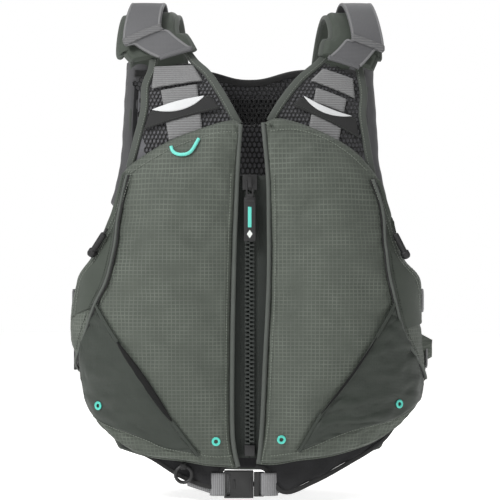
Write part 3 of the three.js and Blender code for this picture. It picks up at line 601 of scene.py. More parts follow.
def nettingTree():
    # A flat knitted net: six-sided loops in staggered rows
    names = [("Columns", "NodeSocketInt"), ("Rows", "NodeSocketInt"), ("Pitch", "NodeSocketFloat"),
             ("Yarn", "NodeSocketFloat"), ("Material", "NodeSocketMaterial")]
    tree, start = geometryTree("knittedNet", names)
    pitch = start.outputs["Pitch"]
    rise = mathOf(tree, "MULTIPLY", pitch, netLook["stagger"])
    wide = mathOf(tree, "MULTIPLY", pitch, mathOf(tree, "SUBTRACT", start.outputs["Columns"], 1))
    high = mathOf(tree, "MULTIPLY", rise, mathOf(tree, "SUBTRACT", start.outputs["Rows"], 1))
    grid = addNode(tree, "GeometryNodeMeshGrid", None, None,
                   {"Size X": wide, "Size Y": high, "Vertices X": start.outputs["Columns"],
                    "Vertices Y": start.outputs["Rows"]})
    place = addNode(tree, "ShaderNodeSeparateXYZ", None, None,
                    {0: addNode(tree, "GeometryNodeInputPosition").outputs[0]})
    climb = mathOf(tree, "ADD", place.outputs[1], mathOf(tree, "MULTIPLY", high, 0.5))
    row = mathOf(tree, "ROUND", mathOf(tree, "DIVIDE", climb, rise), 0)
    odd = mathOf(tree, "MULTIPLY", mathOf(tree, "MODULO", row, 2), mathOf(tree, "MULTIPLY", pitch, 0.5))
    shift = addNode(tree, "ShaderNodeCombineXYZ", None, None, {0: odd})
    moved = addNode(tree, "GeometryNodeSetPosition", None, None,
                    {"Geometry": grid.outputs["Mesh"], "Offset": shift.outputs[0]})
    ring = addNode(tree, "GeometryNodeCurvePrimitiveCircle", None, {"Resolution": netLook["ringSides"]},
                   {"Radius": mathOf(tree, "MULTIPLY", pitch, netLook["ring"])})
    thread = addNode(tree, "GeometryNodeCurvePrimitiveCircle", None, {"Resolution": netLook["yarnSides"]},
                     {"Radius": start.outputs["Yarn"]})
    loop = addNode(tree, "GeometryNodeCurveToMesh", None, None,
                   {"Curve": ring.outputs[0], "Profile Curve": thread.outputs[0]})
    half = addNode(tree, "FunctionNodeInputRotation", {"rotation_euler": (0, 0, math.pi / 6)})
    loops = addNode(tree, "GeometryNodeInstanceOnPoints", None, None,
                    {"Points": moved.outputs[0], "Instance": loop.outputs[0], "Rotation": half.outputs[0]})
    endTree(tree, start, loops.outputs[0])
    return tree


trees = {"stitch": stitchTree(), "net": nettingTree()}


def runTree(name, source, tree, values):
    modifier = source.modifiers.new("nodes", "NODES")
    modifier.node_group = tree
    for key, value in values.items():
        modifier[socketOf(tree, key)] = value
    graph = bpy.context.evaluated_depsgraph_get()
    mesh = bpy.data.meshes.new_from_object(source.evaluated_get(graph), depsgraph=graph)
    mesh.name = name
    bpy.data.objects.remove(source)
    piece = bpy.data.objects.new(name, mesh)
    bpy.context.scene.collection.objects.link(piece)
    return piece


def curveOf(name, lines):
    curve = bpy.data.curves.new(name, "CURVE")
    curve.dimensions = "3D"
    for line in lines:
        spline = curve.splines.new("POLY")
        spline.points.add(len(line) - 1)
        flat = np.concatenate([np.asarray(line) * mm, np.ones((len(line), 1))], axis=1)
        spline.points.foreach_set("co", flat.ravel())
    source = bpy.data.objects.new(name, curve)
    bpy.context.scene.collection.objects.link(source)
    return source


def stitchLines(name, lines, material, pitch=3.0, length=2.2, radius=0.42):
    piece = runTree(name, curveOf(name + "Line", lines), trees["stitch"],
                    {"Pitch": pitch * mm, "Length": length * mm, "Radius": radius * mm, "Material": material})
    piece.data.polygons.foreach_set("use_smooth", [True] * len(piece.data.polygons))
    layer = piece.data.uv_layers.get("cloth") or piece.data.uv_layers.new(name="cloth")
    layer.data.foreach_set("uv", np.zeros(len(piece.data.loops) * 2))
    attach(piece, "vest")
    return piece


def netOver(name, patch, height, material, pitch=4.4, yarn=0.55):
    # Knits a flat net and lays it on a patch of the torso, trimmed to the patch
    places = patch.at(*np.meshgrid(np.linspace(0, 1, 30), np.linspace(0, 1, 30)))
    u, v = arcOf(places[..., 0]) / mm, places[..., 1]
    low, high = np.array([u.min(), v.min()]), np.array([u.max(), v.max()])
    columns = int((high[0] - low[0]) / pitch) + 2
    rows = int((high[1] - low[1]) / (pitch * netLook["stagger"])) + 2
    holder = makeObject(name + "Source", [(0, 0, 0), (1, 0, 0), (0, 1, 0)], [(0, 1, 2)], None, material)
    values = {"Columns": columns, "Rows": rows, "Pitch": pitch * mm, "Yarn": yarn * mm, "Material": material}
    piece = runTree(name, holder, trees["net"], values)
    mesh = piece.data
    points = np.empty(len(mesh.vertices) * 3)
    mesh.vertices.foreach_get("co", points)
    points = points.reshape(-1, 3) / mm
    flat = points[:, :2] + (low + high) / 2
    table = np.linspace(-math.pi / 2, math.pi / 2, 1500)
    turn = np.interp(flat[:, 0], arcOf(table) / mm, table)
    loopPoints = netLook["ringSides"] * netLook["yarnSides"]
    centre = np.stack([turn, flat[:, 1]], axis=1).reshape(-1, loopPoints, 2).mean(axis=1)
    across, up = patch.within(centre)
    keep = np.linalg.norm(patch.at(across, up) - centre, axis=1) < 0.02
    placed = outside(turn, flat[:, 1], height + points[:, 2])
    kept = np.repeat(keep, loopPoints)
    order = np.cumsum(kept) - 1
    faces = [[int(order[v]) for v in p.vertices] for p in mesh.polygons if kept[p.vertices[0]]]
    uv = np.stack([flat[:, 0], flat[:, 1]], axis=1)[kept] * mm
    bpy.data.objects.remove(piece)
    return faceOut(makeObject(name, placed[kept], faces, uv, material))


def onVest(piece, *nodes, slot=None):
    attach(piece, "vest")
    if nodes:
        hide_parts(*nodes)
    return piece


print("stage: helpers")

# Thicknesses, then outlines as distances from the middle and heights, all in millimetres
sizes = {"liner": 1.7, "gap": 0.3, "cover": 1.2, "foamFront": 30, "foamBack": 34, "foamEdge": 11}
fronts = {
    "right": {
        "side": -1,
        "centre": [(13, 34), (19, 70), (19, 161), (17, 261), (14, 340), (10, 394)],
        "outer": [(165, 88), (177, 106), (183, 145), (187, 184), (183, 230), (168, 254), (150, 295),
                  (136, 345)],
        "hem": [(13, 34), (45, 36), (70, 40), (116, 46), (144, 62), (165, 88)],
        "neckline": [(10, 394), (20, 399), (53, 390), (88, 376), (124, 355), (136, 345)],
        "piping": [(181, 132), (167, 158), (153, 202), (141, 231), (135, 265), (134, 298), (128, 341)],
        "mouth": [(53, 46), (79, 82), (107, 127), (131, 166), (150, 200)],
        "slit": [(79, 83), (107, 128), (130, 165)],
        "slitWide": 7.5,
        "meshInner": [(12, 397), (28, 427), (45, 454), (59, 468)],
        "meshOuter": [(134, 350), (126, 378), (117, 412), (115, 440), (108, 458)],
        "anchor": [(51, 446), (61, 463), (107, 437), (104, 461)],
        "web": [(51, 392), (57, 442), (88, 379), (97, 435)],
        "band": [(31, 414), (43, 429), (116, 391), (108, 411)],
        "crescent": [(49, 427.5), (74, 412.5), (106, 412.5), (78, 422.5)],
        "strap": [(61, 478), (74, 493), (84, 507), (97, 467), (113, 479), (126, 494)],
        "yoke": [(60, 480), (69, 497), (80, 509), (128, 467), (137, 477), (143, 488)],
        "skirt": [(13, 33), (27, 30), (38, 10), (72, 19), (106, 38), (138, 55), (164, 86)],
        "hemStitch": [(161, 85), (152, 79), (125, 69), (104, 61), (89, 54), (62, 49), (36, 45), (20, 46)],
        "topStitch": [(125, 343), (82, 368), (53, 379), (31, 385), (12, 385)],
        "loop": [(82, 370), (79, 364), (71, 361), (61, 364), (53, 378)],
        "grommets": [(35, 61), (152, 97)],
    },
    "left": {
        "side": 1,
        "centre": [(7, 38), (14, 80), (17, 144), (21, 230), (21, 300), (20, 340), (15, 396)],
        "outer": [(172, 88), (185, 108), (191, 140), (188, 190), (183, 228), (166, 250), (153, 295),
                  (140, 336)],
        "hem": [(7, 38), (26, 37), (51, 41), (85, 45), (117, 53), (142, 63), (172, 88)],
        "neckline": [(15, 396), (32, 401), (64, 392), (98, 376), (120, 360), (140, 336)],
        "piping": [(181, 124), (165, 150), (152, 177), (142, 215), (136, 250), (137, 300), (128, 336)],
        "mouth": [(51, 50), (73, 91), (101, 129), (125, 171), (143, 204)],
        "slit": [(73, 91), (101, 130), (125, 170)],
        "slitWide": 2.6,
        "meshInner": [(22, 401), (35, 423), (54, 448), (76, 468)],
        "meshOuter": [(137, 341), (130, 375), (125, 407), (126, 430), (123, 450)],
        "anchor": [(66, 446), (79, 459), (115, 426), (113, 447)],
        "web": [(64, 392), (72, 438), (97, 377), (106, 425)],
        "band": [(46, 417), (54, 427), (120, 381), (116, 404)],
        "crescent": [(58.5, 427), (80, 409.5), (111, 405.5), (84, 415)],
        "strap": [(83, 468), (91, 483), (97, 498), (118, 457), (126, 474), (133, 488)],
        "yoke": [(77, 474), (80, 489), (88, 506), (133, 458), (139, 473), (141, 487)],
        "skirt": [(7, 36), (20, 31), (37, 9), (68, 19), (109, 39), (150, 62), (171, 86)],
        "hemStitch": [(173, 97), (164, 90), (144, 81), (118, 75), (96, 69), (71, 58), (51, 50), (23, 46)],
        "topStitch": [(23, 387), (48, 388), (76, 380), (101, 365), (122, 346)],
        "loop": [],
        "grommets": [(33, 63), (150, 99)],
    },
}
foamFoot = sizes["liner"] + sizes["gap"]


def crown(share):
    return 1 - np.abs(2 * share - 1) ** 2.4


def coverHeight(patch, thickness):
    def height(places):
        across, up = patch.within(places)
        foam = sizes["foamEdge"] + (thickness - sizes["foamEdge"]) * crown(across) * crown(up)
        return foamFoot + foam + sizes["gap"] + sizes["cover"]
    return height


def rolled(share, length, radius=7.0):
    # 0 at a rim and 1 inside it, round as a padded edge
    away = np.minimum(share, 1 - share) * length
    t = np.clip(away / radius, 0, 1)
    return np.sqrt(1 - (1 - t) ** 2)


def patchOf(outline, inner, outer, low=None, high=None):
    side = outline["side"]
    edges = [None if points is None else Edge(points, side) for points in (inner, outer, low, high)]
    return Patch(*edges)


cordLook = {"diameter": 3.6, "lift": 2.1, "points": 40}


def cordLoop():
    # The teal loop on the chest, a free cord whose ends are sewn in
    outline = fronts["right"]
    patch = patchOf(outline, outline["centre"], outline["outer"], outline["hem"], outline["neckline"])
    height = coverHeight(patch, sizes["foamFront"])
    edge = Edge(outline["loop"], -1)
    line, _ = lineOn(edge, lambda p: height(p) + cordLook["lift"], cordLook["points"])
    curve = bpy.data.curves.new("cordLoop", "CURVE")
    curve.dimensions = "3D"
    spline = curve.splines.new("POLY")
    spline.points.add(len(line) - 1)
    flat = np.concatenate([line * mm, np.ones((len(line), 1))], axis=1)
    spline.points.foreach_set("co", flat.ravel())
    curve.bevel_depth = cordLook["diameter"] / 2 * mm
    curve.bevel_resolution = 4
    curve.use_fill_caps = True
    curve.materials.append(cloths["teal"])
    piece = bpy.data.objects.new("cordLoop", curve)
    bpy.context.scene.collection.objects.link(piece)
    onVest(piece, "cord_loop", slot="teal_cord")


cordLoop()
print("stage: cord")


panelLook = {"columns": 64, "rows": 96, "roll": 8.0, "rim": 6.0, "waves": 1.265, "cap": 4.0,
             "wide": 165.0, "high": 340.0, "side": (7.5, 159.0), "ends": (18.0, 322.0), "fitting": 9.0,
             "pucker": 1.9, "puckerReach": 22.0, "sink": 0.4, "pressure": 1.2, "grow": 0.012, "frames": 12}
foldLook = {"slow": 1.3, "cross": 0.8, "small": 0.45, "crack": 0.36, "crackWidth": 0.06}
toMillimetres = [180, 1]  # a place's turn and run, both as distances


def foldsOn(places, dense, seed):
    # Long soft folds that lean with the cut, and small creases across them
    u, v = arcOf(places[..., 0]) / mm * np.sign(places[..., 0]), places[..., 1]
    u, v = u * dense, v * dense
    lean = u * 0.35 + v * 0.12
    slow = noiseAt(np.stack([lean * 1.6, v * 0.6, np.zeros_like(v)], -1), 34.0, seed)
    cross = noiseAt(np.stack([u * 0.5, v * 1.7, np.zeros_like(v)], -1), 30.0, seed + 3)
    small = noiseAt(np.stack([u, v * 1.3, np.zeros_like(v)], -1), 15.0, seed + 5)
    cracks = np.exp(-(cross / foldLook["crackWidth"]) ** 2)
    return (foldLook["slow"] * slow + foldLook["cross"] * cross + foldLook["small"] * small
            - foldLook["crack"] * cracks)


def pocketPatch(outline):
    # From the slanted mouth down to the hem's stitching and out to the piping
    mouth = outline["mouth"]
    foot = outline["hemStitch"][5::-1] + [(outline["outer"][1][0] - 4, outline["outer"][1][1])]
    top = (outline["piping"][2][0] + 1, outline["piping"][2][1] - 6)
    outer = foot + [outline["piping"][1], top]
    return patchOf(outline, mouth, outer, [mouth[0], foot[0]], [mouth[-1], top])


def wingPatch(outline):
    return patchOf(outline, outline["piping"][2:], [(x - 1.2, z - 1) for x, z in outline["outer"][3:]])


def underCover(outline, places):
    # Where a pocket front or a side wing lies on the panel
    covered = np.zeros(places.shape[:-1], bool)
    for cover in (pocketPatch(outline), wingPatch(outline)):
        a, u = cover.within(places)
        miss = np.abs(cover.at(a, u) - places) * toMillimetres
        covered |= miss.sum(axis=-1) < 5
    return covered


def heldDown(outline, covered, places, across, up):
    # Where seams, fittings and what is sewn on top keep the panel from swelling
    sideways, climb = across * panelLook["wide"], up * panelLook["high"]
    inner, outer = panelLook["side"]
    low, high = panelLook["ends"]
    held = covered | (sideways < inner) | (sideways > outer) | (climb < low) | (climb > high)
    for point in outline["grommets"] + outline["loop"]:
        miss = (places - seen([point], outline["side"])[0]) * toMillimetres
        held |= np.linalg.norm(miss, axis=-1) < panelLook["fitting"]
    return held


def frontPanel(name, outline):
    # The padded panel beside the zip, blown up between its seams
    look, side = panelLook, outline["side"]
    patch = patchOf(outline, outline["centre"], outline["outer"], outline["hem"], outline["neckline"])
    height = coverHeight(patch, sizes["foamFront"])
    across, up, places = gridOf(patch, look["columns"], look["rows"], 0.75)
    wide, high = look["wide"], look["high"]
    rim = rolled(across, wide, look["roll"]) * rolled(up, high, look["roll"])
    top = look["rim"] + (height(places) - look["rim"]) * rim
    folds = foldsOn(places, 1.0, 1 if side < 0 else 2) * look["waves"]
    inward = np.minimum(np.minimum(across, 1 - across) * wide, np.minimum(up, 1 - up) * high)
    ridges = np.stack([inward * 0.3 + up * high, up * high * 0.9 - across * 120, 0 * up], -1)
    pucker = look["pucker"] * np.exp(-inward / look["puckerReach"])
    folds = folds + pucker * noiseAt(ridges, 9.0, 60 + side)
    covered = underCover(outline, places)
    folds = np.where(covered, np.minimum(folds, 0) - look["sink"], folds)
    piece = clothSlab(f"mainPanel_{name}", places, foamFoot, top, cloths["ripstop"], folds * rim)
    count = places.shape[0] * places.shape[1]
    held = heldDown(outline, covered, places, across, up)
    pinned = np.concatenate([np.arange(count), count + np.flatnonzero(held.ravel())])
    inflate(piece, pinned, look["pressure"], look["grow"], look["cap"], look["frames"])
    onVest(piece, f"front_cover_{name}", f"front_foam_{name}", slot="ripstop")
    return patch, height


liningLook = {"foot": 0.1, "top": 1.6, "sag": 1.0, "hem": (5, 1.6)}


def liningSkirt(name, outline, patch):
    # Knitted air mesh that lines the panel and shows below its hem
    shares = np.linspace(0, 1, 60)
    rows = [patch.at(shares, np.full(60, u)) for u in np.linspace(1, 0, 26)]
    skirt = Edge(outline["skirt"], outline["side"]).at(shares)
    rows += [rows[-1] * (1 - t) + skirt * t for t in np.linspace(0.2, 1, 6)]
    places = np.array(rows)
    sag = liningLook["sag"] * np.sin(shares * 38) * np.linspace(0, 1, len(rows))[:, None] ** 6
    foot, top = liningLook["foot"], liningLook["top"]
    piece = clothSlab(f"lining_{name}", places, foot, top, cloths["airMesh"], sag)
    onVest(piece, f"front_liner_{name}", slot="mesh")
    line, normals = lineOn(np.array(rows[-1]), 1.0, 60)
    profile = bandProfile(*liningLook["hem"], 3, 2.4)
    hem = sweepProfile(f"liningHem_{name}", line, normals, profile, cloths["band"])
    onVest(hem)


pocketLook = {"columns": 40, "rows": 64, "foot": 0.1, "top": 1.5, "creases": 3.2, "puff": 1.2, "gape": 0.35,
              "fitting": 13.0, "slitRise": 4.4, "slitDepth": 2.6, "welt": (2.2, 1.5)}


def handPocket(name, outline, height):
    # The smoother pocket front below the slanted mouth, its gaping slit and the mouth's rolled edge
    look, side, width = pocketLook, outline["side"], outline["slitWide"]
    across, up, places = gridOf(pocketPatch(outline), look["columns"], look["rows"], 0.5)
    base = height(places)
    lip = np.clip(across / 0.12, 0, 1) * np.clip((1 - across) / 0.05, 0, 1)
    ends = np.clip(np.minimum(up, 1 - up) / 0.05, 0, 1)
    gape = np.exp(-((up - 0.55) / 0.24) ** 2) * np.exp(-across / 0.25) * width * look["gape"]
    folds = foldsOn(places, 1.5, 7 + side) * look["creases"] + look["puff"]
    folds = np.maximum(folds, -0.6) * lip * ends
    for point in outline["grommets"]:
        away = (places - seen([point], side)[0]) * toMillimetres
        folds *= 1 - np.exp(-(np.linalg.norm(away, axis=-1) / look["fitting"]) ** 4)
    foot, top = base + look["foot"], base + look["top"]
    piece = clothSlab(f"pocketFront_{name}", places, foot, top, cloths["plain"], folds + gape)
    onVest(piece, f"hand_pocket_{name}", slot="plain_cloth")
    # The dark slit, a near-black sheet that is painted shade inside the pocket's mouth, then the mouth's
    # rolled edge beside it
    count = 50
    line, normals = lineOn(Edge(outline["slit"], side), lambda p: height(p) + look["slitRise"], count)
    share = np.linspace(0, 1, count)
    lens = np.sqrt(np.maximum(0.02, 1 - (2 * share - 1) ** 2))
    shape = [(-width * 0.5, 0), (-width * 0.2, 0.5), (width * 0.2, 0.5), (width * 0.5, 0),
             (0, -look["slitDepth"])]
    dark = sweepProfile(f"pocketSlit_{name}", line, normals, shape, cloths["shade"], lens)
    onVest(dark)
    line, normals = lineOn(Edge(outline["mouth"], side), lambda p: height(p) + 1.0, 90)
    profile = bandProfile(*look["welt"], 4, side, 0.2)
    welt = sweepProfile(f"pocketWelt_{name}", line, normals, profile, cloths["plain"])
    onVest(welt)


wingLook = {"columns": 18, "rows": 60, "under": 2.0, "thick": 1.3, "waves": 0.7, "wide": 40, "roll": 5}


def wing(name, outline, height):
    # The smooth side cloth outside the piping
    look, side = wingLook, outline["side"]
    across, _, places = gridOf(wingPatch(outline), look["columns"], look["rows"], 0.4)
    base = height(places)
    top = base + look["thick"] * (rolled(across, look["wide"], look["roll"]) * 0.6 + 0.4)
    folds = foldsOn(places, 1.0, 11 + side) * look["waves"]
    piece = clothSlab(f"sideWing_{name}", places, base - look["under"], top, cloths["facing"], folds)
    onVest(piece, f"wing_panel_{name}", slot="plain_cloth")


# seam: width and thickness of the black band of painted groove shade beside the cord
pipingLook = {"radius": 1.5, "rise": 2.6, "seam": (6.0, 1.1), "grooveShadeRise": 1.1, "points": 140}


def pipingOf(name, outline, height):
    # A corded piping, standing in the groove that it is sewn into; a black band under the cord is painted
    # shade in that groove
    look = pipingLook
    edge = Edge(outline["piping"], outline["side"])
    line, normals = lineOn(edge, lambda p: height(p) + look["rise"], look["points"])
    profile = cordProfile(look["radius"], 12)
    cord = sweepProfile(f"pipingCord_{name}", line, normals, profile, cloths["edging"])
    onVest(cord, f"piping_{name}", slot="piping")
    # The black band each side of the cord: painted shade in the groove
    flange, _ = lineOn(edge, lambda p: height(p) + look["grooveShadeRise"], look["points"])
    profile = bandProfile(*look["seam"], 3)
    groove = sweepProfile(f"pipingSeam_{name}", flange, normals, profile, cloths["band"])
    onVest(groove)


edgeLook = {
    "clear": 10.5,  # the least distance from the middle, so that the zip pull passes
    "stand": 10.5,
    "fold": [(-3.2, 5.2), (-3.2, 4.2), (-1.2, 3.6), (-0.6, -6), (1.2, -6), (1.6, 3.4), (0.8, 5.6),
             (-1.4, 6.2)],
    "hem": (3.0, 7.5),
    "neckline": (3.0, 8.0),
    "rollRise": 9.0,
}


def panelEdges(name, outline, height):
    # Grey edging down the zip side, hems, and the rows of thread
    look, side = edgeLook, outline["side"]
    centre = Edge([(max(x, look["clear"]), z) for x, z in outline["centre"]], side)
    line, normals = lineOn(centre, look["stand"], 160)
    fold = look["fold"]
    if side < 0:
        fold = [(-x, out) for x, out in fold[:1] + fold[:0:-1]]
    onVest(sweepProfile(f"centreEdging_{name}", line, normals, fold, cloths["edging"]))
    for label in ("hem", "neckline"):
        line, normals = lineOn(Edge(outline[label], side), look["rollRise"], 120)
        profile = bandProfile(*look[label], 5, 0, -3.0)
        onVest(sweepProfile(f"{label}Roll_{name}", line, normals, profile, cloths["ripstop"]))
    rows = []
    for points, lift in ((outline["hemStitch"], 1.9), (outline["topStitch"], 0.8)):
        rows.append(lineOn(Edge(points, side), lambda p: height(p) + lift, 240)[0])
    inner = [(x + 5.5, z) for x, z in outline["centre"][:-1]]
    rows.append(lineOn(Edge(inner, side), lambda p: height(p) + 1.5, 240)[0])
    for shift in (9, 13):
        edge = [(x - shift, z - 1) for x, z in outline["outer"][3:]]
        rows.append(lineOn(Edge(edge, side), lambda p: height(p) + 1.7, 160)[0])
    stitchLines(f"panelStitch_{name}", rows, cloths["thread"])
    beside = []
    for shift in (-5.0, 5.4):
        moved = [(x + shift, z - 1) for x, z in outline["piping"][1:]]
        beside.append(lineOn(Edge(moved, side), lambda p: height(p) + 1.6, 240)[0])
    mouth = outline["mouth"]
    past = (mouth[-1][0] + 2, mouth[-1][1] + 4)
    for a, b in ((mouth[0], outline["slit"][0]), (outline["slit"][-1], past)):
        for shift in (-3.0, 3.4):
            moved = [(a[0] + shift, a[1]), (b[0] + shift, b[1])]
            beside.append(lineOn(Edge(moved, side), lambda p: height(p) + 2.3, 60)[0])
    stitchLines(f"pocketStitch_{name}", beside, cloths["darkThread"])


def barSeams(name, outline, height):
    # Close satin stitches that lock both ends of the pocket's mouth
    side = outline["side"]
    mouth = outline["mouth"]
    past = (mouth[-1][0] + 2, mouth[-1][1] + 5)
    profile = bandProfile(3.4, 1.3, 4)
    for index, ends in enumerate(([mouth[0], outline["slit"][0]], [outline["slit"][-1], past])):
        line, normals = lineOn(Edge(ends, side), lambda p: height(p) + 2.0, 40)
        onVest(sweepProfile(f"barSeam{index}_{name}", line, normals, profile, cloths["plain"]))


panelHeights = {}
for name, outline in fronts.items():
    patch, height = frontPanel(name, outline)
    panelHeights[name] = height
    liningSkirt(name, outline, patch)
    handPocket(name, outline, height)
    wing(name, outline, height)
    pipingOf(name, outline, height)
    barSeams(name, outline, height)
    panelEdges(name, outline, height)
print("stage: front panels")


def webPatch(outline, key):
    a, b, c, d = outline[key]
    return patchOf(outline, [a, b], [c, d])


def webPiece(name, patch, foot, thick, material, columns, rows):
    # Flat webbing, thinner at its edges
    across, _, places = gridOf(patch, columns, rows, 0.5)
    edge = rolled(across, 36, 1.5)
    return clothSlab(name, places, foot, foot + thick * (0.55 + 0.45 * edge), material)


meshLook = {"back": (0.2, 0.8), "net": 1.7, "pitch": 4.2, "yarn": 0.72, "web": (2.9, 1.6), "band": (4.9, 1.0),
            "crescent": (6.1, 6.5), "anchor": (2.9, 3.4), "binding": (9.0, 4.2), "bindingStitch": 2.8,
            "bandStitch": 6.1}


def upperMesh(name, outline):
    # The see-through mesh above each panel, with all that is sewn to it
    look = meshLook
    side = outline["side"]
    foot = [outline["meshInner"][0]] + outline["neckline"][1:-1] + [outline["meshOuter"][0]]
    patch = patchOf(outline, outline["meshInner"], outline["meshOuter"], foot)
    _, _, places = gridOf(patch, 30, 30)
    backing = clothSlab(f"meshBack_{name}", places, *look["back"], cloths["fleck"])
    onVest(backing, f"shoulder_mesh_{name}", slot="mesh")
    net = netOver(f"meshNet_{name}", patch, look["net"], cloths["net"], look["pitch"], look["yarn"])
    onVest(net)
    web = webPiece(f"meshWeb_{name}", webPatch(outline, "web"), *look["web"], cloths["ribbed"], 12, 20)
    onVest(web, f"shoulder_web_{name}", slot="ribbed_web")
    band = webPiece(f"chestBand_{name}", webPatch(outline, "band"), *look["band"], cloths["band"], 24, 8)
    onVest(band, f"shoulder_band_{name}", slot="black_tape")
    inner, belly, outer, brow = outline["crescent"]
    ends = np.array([inner, outer], float)
    tips = ends + [(0.4, 0.6), (-0.4, 0.6)]
    t = np.linspace(0, 1, 9)[:, None]
    arcs = [a + (b - a) * t + 4 * t * (1 - t) * (np.array(middle) - (a + b) / 2)
            for (a, b), middle in ((ends, belly), (tips, brow))]
    lens = patchOf(outline, [ends[0], tips[0]], [ends[1], tips[1]], *arcs)
    _, _, places = gridOf(lens, 40, 8)
    mark = clothSlab(f"reflectiveCrescent_{name}", places, *look["crescent"], cloths["glass"])
    onVest(mark, f"reflective_patch_{name}", slot="reflective")
    patch = webPatch(outline, "anchor")
    anchor = webPiece(f"strapAnchor_{name}", patch, *look["anchor"], cloths["ribbed"], 16, 12)
    onVest(anchor, f"strap_anchor_{name}", slot="ribbed_web")
    # Bindings round the neck and arm edges
    neck, arm = outline["meshInner"], outline["meshOuter"]
    neck = neck + [(neck[-1][0] + 9, neck[-1][1] + 13)]
    arm = arm + [(arm[-1][0] - 3, arm[-1][1] + 14)]
    for label, points, toward in (("neckBinding", neck, -1), ("armBinding", arm, 1)):
        line, normals = lineOn(Edge(points, side), 0.6, 90)
        profile = bandProfile(*look["binding"], 6, 0.0, -1.0)
        onVest(sweepProfile(f"{label}_{name}", line, normals, profile, cloths["binding"]))
        shifted = [(x - toward * look["bindingStitch"], z) for x, z in points]
        rows = [lineOn(Edge(shifted, side), 4.0, 200)[0]]
        stitchLines(f"{label}Stitch_{name}", rows, cloths["thread"], 2.8, 2.0, 0.36)
    rows = []
    a, b, c, d = outline["band"]
    for p, q, shift in ((a, c, 2), (b, d, -2)):
        ends = [(p[0] + 2, p[1] + shift), (q[0] - 2, q[1] + shift)]
        rows.append(lineOn(Edge(ends, side), look["bandStitch"], 120)[0])
    stitchLines(f"bandStitch_{name}", rows, cloths["darkThread"], 2.6, 1.9, 0.34)


def overShoulder(points, backX, backEnd, side):
    front = seen(points, side)
    back = seen([(backX, (points[0][1] + backEnd) / 2, 1), (backX, backEnd, 1)], side)
    return Edge(None, places=np.concatenate([front, back]))


yokeLook = {"backX": (72, 132), "backEnd": 452, "foot": 3.2, "rim": 5.0, "puff": 5.9, "wide": 76, "long": 200,
            "waves": 0.5, "binding": (7, 5.0)}
strapLook = {"backX": (82, 122), "backEnd": 462, "level": 12.3, "stand": 7.5, "lean": 0.075, "wide": 38,
             "thick": 1.6, "rib": 0.8, "selvedge": (2.4, 0.8), "keeper": (0.36, 0.46)}


def shoulder(name, outline):
    # The yoke's pad, and the strap that stands off it
    look, side = yokeLook, outline["side"]
    yoke = Patch(overShoulder(outline["yoke"][:3], look["backX"][0], look["backEnd"], side),
                 overShoulder(outline["yoke"][3:], look["backX"][1], look["backEnd"], side))
    across, up, places = gridOf(yoke, 36, 90, 0.7)
    puff = rolled(across, look["wide"], 9) * rolled(up, look["long"], 8)
    quilt = 1 - 0.25 * np.exp(-((across - 0.5) / 0.05) ** 2)
    top = look["rim"] + look["puff"] * puff * quilt
    folds = foldsOn(places, 1.0, 21 + side) * look["waves"] * puff
    pad = clothSlab(f"yokePad_{name}", places, look["foot"], top, cloths["facing"], folds)
    count = places.shape[0] * places.shape[1]
    rim = (np.minimum(across, 1 - across) < 0.05) | (np.minimum(up, 1 - up) < 0.03)
    under = np.abs(across - 0.5) < 0.36
    pinned = np.concatenate([np.arange(count), count + np.flatnonzero((rim | under).ravel())])
    inflate(pad, pinned, 1.0, 0.01, 2.0, 8)
    onVest(pad, f"shoulder_yoke_{name}", slot="ripstop")
    for index, share in enumerate((0.0, 1.0)):
        line, normals = lineOn(yoke.at(np.full(90, share), np.linspace(0, 1, 90)), 6.0, 90)
        profile = bandProfile(*look["binding"], 6, 0, -3.0)
        onVest(sweepProfile(f"yokeBinding{index}_{name}", line, normals, profile, cloths["binding"]))
    shoulderStrap(name, outline)


def shoulderStrap(name, outline):
    look, side = strapLook, outline["side"]
    strap = Patch(overShoulder(outline["strap"][:3], look["backX"][0], look["backEnd"], side),
                  overShoulder(outline["strap"][3:], look["backX"][1], look["backEnd"], side))
    across, up, places = gridOf(strap, 14, 90, 0.3)

    def standing(share):
        # The strap stands off the pad and leans towards the arm as it goes over
        return look["level"] + look["stand"] * np.sin(np.pi * np.clip(share / 0.9, 0, 1)) ** 1.5

    def leaning(spots, share):
        lean = side * look["lean"] * np.sin(np.pi * np.clip(share / 0.8, 0, 1))
        return spots + np.stack([lean, 0 * share], -1)

    foot = standing(up) + 0.5 * np.sin(up * 11 + across * 2)
    top = foot + look["thick"] + look["rib"] * rolled(across, look["wide"], 2)
    web = clothSlab(f"shoulderWeb_{name}", leaning(places, up), foot, top, cloths["smooth"])
    onVest(web, f"shoulder_strap_{name}", slot="smooth_web")
    for index, share in enumerate((0.05, 0.95)):
        climb = np.linspace(0.01, 0.99, 70)
        spots = leaning(strap.at(np.full(70, share), climb), climb)
        line, normals = lineOn(spots, standing(climb) + 1.9 + 0.5 * np.sin(climb * 11 + share * 2), 70)
        profile = bandProfile(*look["selvedge"], 3)
        onVest(sweepProfile(f"strapSelvedge{index}_{name}", line, normals, profile, cloths["selvedge"]))
    # A folded keeper of coarse ribbed webbing near the top of the strap
    wide, climb = np.meshgrid(np.linspace(0, 1, 16), np.linspace(*look["keeper"], 8))
    keep = leaning(strap.at(wide, climb), climb)
    level = standing(climb)
    onVest(clothSlab(f"strapKeeper_{name}", keep, level + 2.2, level + 3.4, cloths["coarse"]))
    fold = strap.at(np.linspace(0.02, 0.98, 20), np.full(20, 0.0))
    line, normals = lineOn(fold, look["level"] + 1.2, 20)
    profile = bandProfile(6, 4.2, 6, 0, -2.0)
    onVest(sweepProfile(f"strapFold_{name}", line, normals, profile, cloths["smooth"]))


for name, outline in fronts.items():
    upperMesh(name, outline)
    shoulder(name, outline)
print("stage: shoulders")


